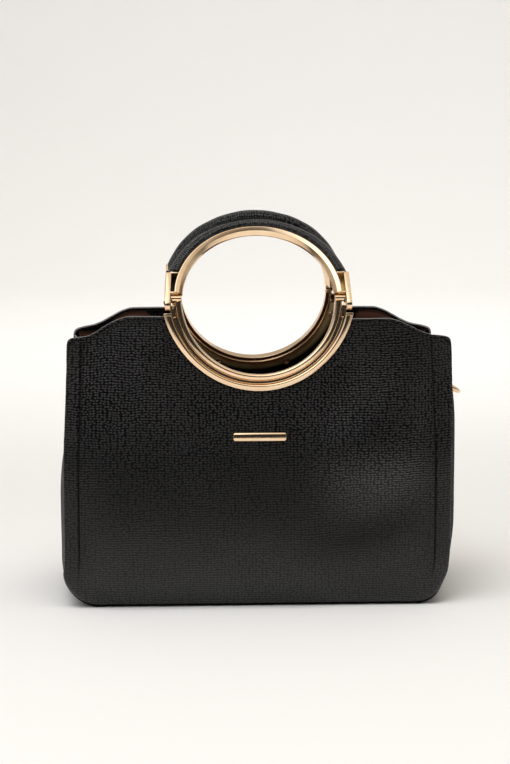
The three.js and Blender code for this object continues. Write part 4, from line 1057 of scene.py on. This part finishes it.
def screw_head(angle):
    """Low domed screw head with a cross recess, on the plate's inner face."""
    sides, rings = 40, [0.0, 0.25, 0.5, 0.8, 1.1, 1.4, 1.7, 2.0, 2.25, 2.4, 2.45]
    a = np.linspace(0, 2 * math.pi, sides, endpoint=False)
    verts = [[0, 0, -4.15]]
    for r in rings[1:]:
        u, v = r * np.cos(a + angle), r * np.sin(a + angle)
        slot = np.maximum(smooth((0.42 - np.abs(u)) / 0.16) * smooth((1.55 - np.abs(v)) / 0.2),
                          smooth((0.42 - np.abs(v)) / 0.16) * smooth((1.55 - np.abs(u)) / 0.2))
        h = -4.6 + 0.5 * (r / 2.45) ** 3 + 0.45 * slot
        verts += np.column_stack([r * np.cos(a), r * np.sin(a), h]).tolist()
    verts += np.column_stack([2.45 * np.cos(a), 2.45 * np.sin(a), np.full(sides, -3.35)]).tolist()
    verts += [[0, 0, -3.35]]
    faces = [[0, 1 + (i + 1) % sides, 1 + i] for i in range(sides)]
    faces += [[1 + x for x in f] for f in quads(len(rings), sides, closed_cols=True)[:, ::-1].tolist()]
    last, base = len(verts) - 1, 1 + (len(rings) - 1) * sides
    faces += [[last, base + i, base + (i + 1) % sides] for i in range(sides)]
    v = np.asarray(verts)
    return v + (SCREW_CIRCLE * math.sin(angle * DEG), -SCREW_CIRCLE * math.cos(angle * DEG), 0), faces


grips = []
for which, lean, left in (("front", FRONT_HANDLE_LEAN, -1), ("back", BACK_HANDLE_LEAN, 1)):
    body = f"{which}_handle"
    lower_ring(which).make(f"{which}_half_ring", "bag", "gold", [GOLD], [f"{which}_ring_lower"], sharp=38)
    plate = Piece()
    edge = math.asin(12.2 / 64) / DEG
    add_part(plate, sweep(PLATE_SECTION, 180 + edge, 360 - edge, ARC), which, RING_LEAN)
    plate.make(f"{which}_plate", "bag", "dull_gold", [PLATE_GOLD], [f"{which}_ring_plate"], sharp=38)
    for i, angle in enumerate(SCREW_ANGLES):
        one = Piece()
        add_part(one, screw_head(angle), which, RING_LEAN)
        outward(one).make(f"{which}_screw_{i + 1}", "bag", "gold", [GOLD], [f"{which}_plate_screw_{i + 1}"], sharp=50)
    for word, side in (("left", left), ("right", -left)):
        one = Piece()
        x0, x1 = sorted((side * 55.4, side * 66.8))
        add_part(one, rod(x0, x1, PIN_R), which, RING_LEAN)
        outward(one).make(f"{which}_pin_{word}", "bag", "gold", [GOLD], [f"{which}_hinge_pin_{word}"], sharp=50)
    handle_arch(which, lean).make(f"{which}_arch", body, "gold", [GOLD, DULL_GOLD, SIDE_LEATHER], [f"{which}_handle_arch"], sharp=38)
    grip = handle_grip(which, lean).make(f"{which}_grip", body, "leather", [GRIP_LEATHER], [f"{which}_handle_grip"], sharp=75)

# ------------------------------------------------------------------ side loops and front bar
TAB_HALF, TAB_TOP, TAB_EYE_Z, EYE_OUT, EYE_IN, WIRE_R = 5.5, 174.0, 153.0, 3.3, 1.8, 1.4
LOOP_HALF, LOOP_LEG, LOOP_TILT = 7.7, 3.2, {-1: 25.0, 1: 60.0}


def linear(xs, ys, at):
    return float(np.interp(at, xs, ys))


def gusset_face(side, z):
    return GUSSET_EDGE + linear(FOLD_Z, FOLD[side], z) + float(gusset_shift(side, 0.0, z))


def tab_and_loop(side):
    clear, strip = 1.9, 2.2
    ex = gusset_face(side, TAB_EYE_Z) + clear + EYE_OUT
    tx = gusset_face(side, TAB_TOP) + clear
    arc = lambda a0, a1, n: [(ex + EYE_OUT * math.cos(a), TAB_EYE_Z + EYE_OUT * math.sin(a)) for a in np.linspace(a0, a1, n)]
    outline = [(tx, TAB_TOP)] + arc(math.pi, math.pi * 2.55, 34) + [(tx + strip, TAB_TOP)]
    outline = fillet(outline, [0.7] + [0] * 34 + [0.7], 4)
    area = 0.5 * np.sum(outline[:, 0] * np.roll(outline[:, 1], -1) - np.roll(outline[:, 0], -1) * outline[:, 1])
    if area < 0:
        outline = outline[::-1]
    hole = circle(ex, TAB_EYE_Z, EYE_IN, 28, clockwise=True)
    v, f = slab([outline, hole], -TAB_HALF, TAB_HALF, 0.55, 4)
    verts = np.stack([v[:, 0], -v[:, 2], v[:, 1]], -1)
    grain = np.stack([v[:, 2] + 900 * side, v[:, 1], v[:, 0] * 0], -1)
    corner = 1.6
    bar = LOOP_HALF - corner
    path = [(-bar + 2 * bar * k / 10, 0.0) for k in range(11)]
    path += [(bar + corner * math.sin(a), corner * (1 - math.cos(a))) for a in np.linspace(0, 90, 9)[1:] * DEG]
    path += [(LOOP_HALF * math.cos(a), LOOP_LEG + LOOP_HALF * math.sin(a)) for a in np.linspace(0, 180, 46) * DEG]
    path += [(-bar - corner * math.sin(a), corner * (1 - math.cos(a))) for a in np.linspace(90, 0, 9)[:-1] * DEG]
    path = np.asarray(path)
    tilt = LOOP_TILT[side] * DEG
    loop = np.stack([ex + path[:, 1] * math.sin(tilt), path[:, 0], TAB_EYE_Z - path[:, 1] * math.cos(tilt)], -1)
    if side < 0:
        verts, loop = verts * (-1, -1, 1), loop * (-1, -1, 1)
    tab = outward(Piece().add(verts, f, 0, grain))
    ring = outward(Piece().add(*tube(loop, WIRE_R + 0.25, 20)))
    # two rows of stitches across the tab's upper end
    points, tangents, normals = [], [], []
    slope = np.array([tx + strip - ex - EYE_OUT * math.cos(math.pi * 0.55), 0, TAB_TOP - TAB_EYE_Z - EYE_OUT * math.sin(math.pi * 0.55)])
    slope /= np.linalg.norm(slope)
    face = np.array([slope[2], 0, -slope[0]])
    for y in (-3.9, 3.9):
        for k in range(5):
            p = np.array([tx + strip, y, TAB_TOP]) - slope * (2.2 + 2.9 * k) + face * 0.06
            points.append(p); tangents.append(slope); normals.append(face)
    for y in (-2.0, 0.0, 2.0):
        points.append(np.array([tx + strip, y, TAB_TOP]) - slope * 1.9 + face * 0.06)
        tangents.append(np.array([0, 1.0, 0])); normals.append(face)
    turn = np.array([1, 1, 1]) if side > 0 else np.array([-1, -1, 1])
    stitches = capsules([p * turn for p in points], [p * turn for p in tangents], [p * turn for p in normals], 2.2, 0.3)
    return tab, ring, stitches


for word, side in (("left", -1), ("right", 1)):
    tab, ring, stitches = tab_and_loop(side)
    tab.make(f"{word}_tab", "bag", "leather", [LEATHER], [f"{word}_loop_tab"], sharp=60)
    ring.make(f"{word}_ring", "bag", "gold", [GOLD], [f"{word}_loop"])
    stitches.make(f"{word}_tab_stitches", "bag", "leather", [THREAD])


def bar():
    length, height, thick = 38.0, 6.4, 1.6
    a, b = length / 2, height / 2
    outline = fillet([(-a, -b), (a, -b), (a, b), (-a, b)], 1.6, 8)
    v, f = slab([outline], 0.0, thick, 0.75, 5)
    crown = np.where(v[:, 2] > thick / 2, 0.9 * np.maximum(1 - (v[:, 1] / b) ** 2, 0), 0)
    v = v + np.stack([0 * crown, 0 * crown, crown], 1)
    slope = float(half_depth(0, BAR_Z + 1) - half_depth(0, BAR_Z - 1)) / 2
    turn = math.pi / 2 + math.atan(slope)
    y = v[:, 1] * math.cos(turn) - v[:, 2] * math.sin(turn)
    z = v[:, 1] * math.sin(turn) + v[:, 2] * math.cos(turn)
    foot = wall_point("front", np.array(0.0), np.array(BAR_Z), np.array(PANEL_WALL / 2 + 0.1))
    return outward(Piece().add(np.stack([v[:, 0] + foot[0], y + foot[1], z + foot[2]], -1), f))


bar().make("plain_bar", "bag", "gold", [GOLD], ["front_bar"], sharp=50)

# ------------------------------------------------------------------ studio


def backdrop():
    """Round floor that rises behind the bag into a wall, in one pale sweep."""
    sides = 120
    around = np.linspace(0, 2 * math.pi, sides, endpoint=False)
    behind = smooth((np.sin(around) + 0.25) / 0.5)
    verts = [(r * math.cos(t), r * math.sin(t), 0.0) for r in (0.0002, 0.3, 0.6, 1.0, 1.5, 2.0, 2.4) for t in around]
    rows = 7
    for a in list(np.linspace(0, 90, 18)[1:] * DEG) + [None]:
        for t, up in zip(around, behind):
            r, z = (2.4 + math.sin(a), 1 - math.cos(a)) if a is not None else (3.4, 1.5)
            verts.append((r * math.cos(t), r * math.sin(t), z * up))
        rows += 1
    mesh = bpy.data.meshes.new("studio_floor")
    mesh.from_pydata(verts, [], quads(rows, sides, closed_cols=True).tolist())
    mesh.polygons.foreach_set("use_smooth", np.ones(len(mesh.polygons), bool))
    n = Nodes("pale_floor")
    at = n.new("TexCoord").outputs["Object"]
    tone = n.noise(at, 1.2, 2.0).outputs["Fac"]
    n.set(color=n.blend(tone, (0.80, 0.795, 0.785), (0.83, 0.825, 0.815)), rough=0.85, spec=0.2)
    mesh.materials.append(n.material)
    obj = bpy.data.objects.new("studio_floor", mesh)
    bpy.context.scene.collection.objects.link(obj)


def area_light(name, place, aim, size, power, colour=(1, 1, 1), spread=180.0, mirrored=True):
    data = bpy.data.lights.new(name, "AREA")
    data.energy, data.color, data.size, data.spread = power, colour, size, spread * DEG
    obj = bpy.data.objects.new(name, data)
    obj.location = place
    obj.visible_glossy = mirrored
    obj.rotation_euler = (Vector(aim) - Vector(place)).to_track_quat("-Z", "Y").to_euler()
    bpy.context.scene.collection.objects.link(obj)


backdrop()
area_light("key", (-0.95, -1.15, 2.3), (0.05, 0.25, 0.0), 2.4, 4.4, (0.92, 0.95, 1.0), 76)
area_light("key_fill", (-1.0, -1.22, 2.415), (0.05, 0.25, 0.0), 2.4, 5.6, (0.92, 0.95, 1.0), 76, False)
area_light("top", (0.0, -1.0, 2.3), (0.0, -0.85, 0.0), 1.6, 11.9, (1.0, 0.975, 0.955), 120, False)
area_light("wall", (0.25, 1.0, 2.0), (0.2, 3.0, 0.8), 1.4, 30.0, (1.0, 0.985, 0.98), 150)

# a room that is dark at eye level in front and pale overhead and at the sides; behind, only a pale wall shows
world = bpy.data.worlds.new("room")
world.use_nodes = True
tree = world.node_tree
far, sky = tree.nodes["Background"], tree.nodes.new("ShaderNodeBackground")
far.inputs[0].default_value = (0.86, 0.84, 0.82, 1)
where, split = tree.nodes.new("ShaderNodeTexCoord"), tree.nodes.new("ShaderNodeSeparateXYZ")
height, tint = tree.nodes.new("ShaderNodeMapRange"), tree.nodes.new("ShaderNodeMix")
height.interpolation_type, tint.data_type = "SMOOTHSTEP", "RGBA"
height.inputs[1].default_value, height.inputs[2].default_value = math.sin(36 * DEG), math.sin(54 * DEG)
tint.inputs[6].default_value, tint.inputs[7].default_value = (0.030, 0.029, 0.028, 1), (0.84, 0.79, 0.71, 1)
tree.links.new(where.outputs["Generated"], split.inputs[0])
tree.links.new(split.outputs["Z"], height.inputs[0])
beside, most = tree.nodes.new("ShaderNodeMapRange"), tree.nodes.new("ShaderNodeMath")
beside.interpolation_type, most.operation = "SMOOTHSTEP", "MAXIMUM"
for i, v in ((1, -0.62), (2, -0.15), (3, 0.0), (4, 0.55)):
    beside.inputs[i].default_value = v
tree.links.new(split.outputs["Y"], beside.inputs[0])
tree.links.new(height.outputs[0], most.inputs[0])
tree.links.new(beside.outputs[0], most.inputs[1])
tree.links.new(most.outputs[0], tint.inputs[0])
tree.links.new(tint.outputs[2], sky.inputs[0])
choose, path = tree.nodes.new("ShaderNodeMixShader"), tree.nodes.new("ShaderNodeLightPath")
tree.links.new(path.outputs["Is Camera Ray"], choose.inputs[0])
tree.links.new(sky.outputs[0], choose.inputs[1])
tree.links.new(far.outputs[0], choose.inputs[2])
tree.links.new(choose.outputs[0], tree.nodes["World Output"].inputs[0])
bpy.context.scene.world = world
bpy.context.scene.view_settings.view_transform = "Standard"

camera = bpy.data.cameras.new("camera")
camera.lens, camera.sensor_width = 95.1, 36.0
camera.clip_start, camera.clip_end = 0.05, 50
eye = bpy.data.objects.new("camera", camera)
psi, rise, reach = -2.6 * DEG, 7.9 * DEG, 1.5
ahead = Vector((-math.sin(psi) * math.cos(rise), math.cos(psi) * math.cos(rise), -math.sin(rise)))
eye.location = Vector((-0.0005, 0, 0.1552)) - ahead * reach
eye.rotation_euler = ahead.to_track_quat("-Z", "Y").to_euler()
bpy.context.scene.collection.objects.link(eye)
bpy.context.scene.camera = eye
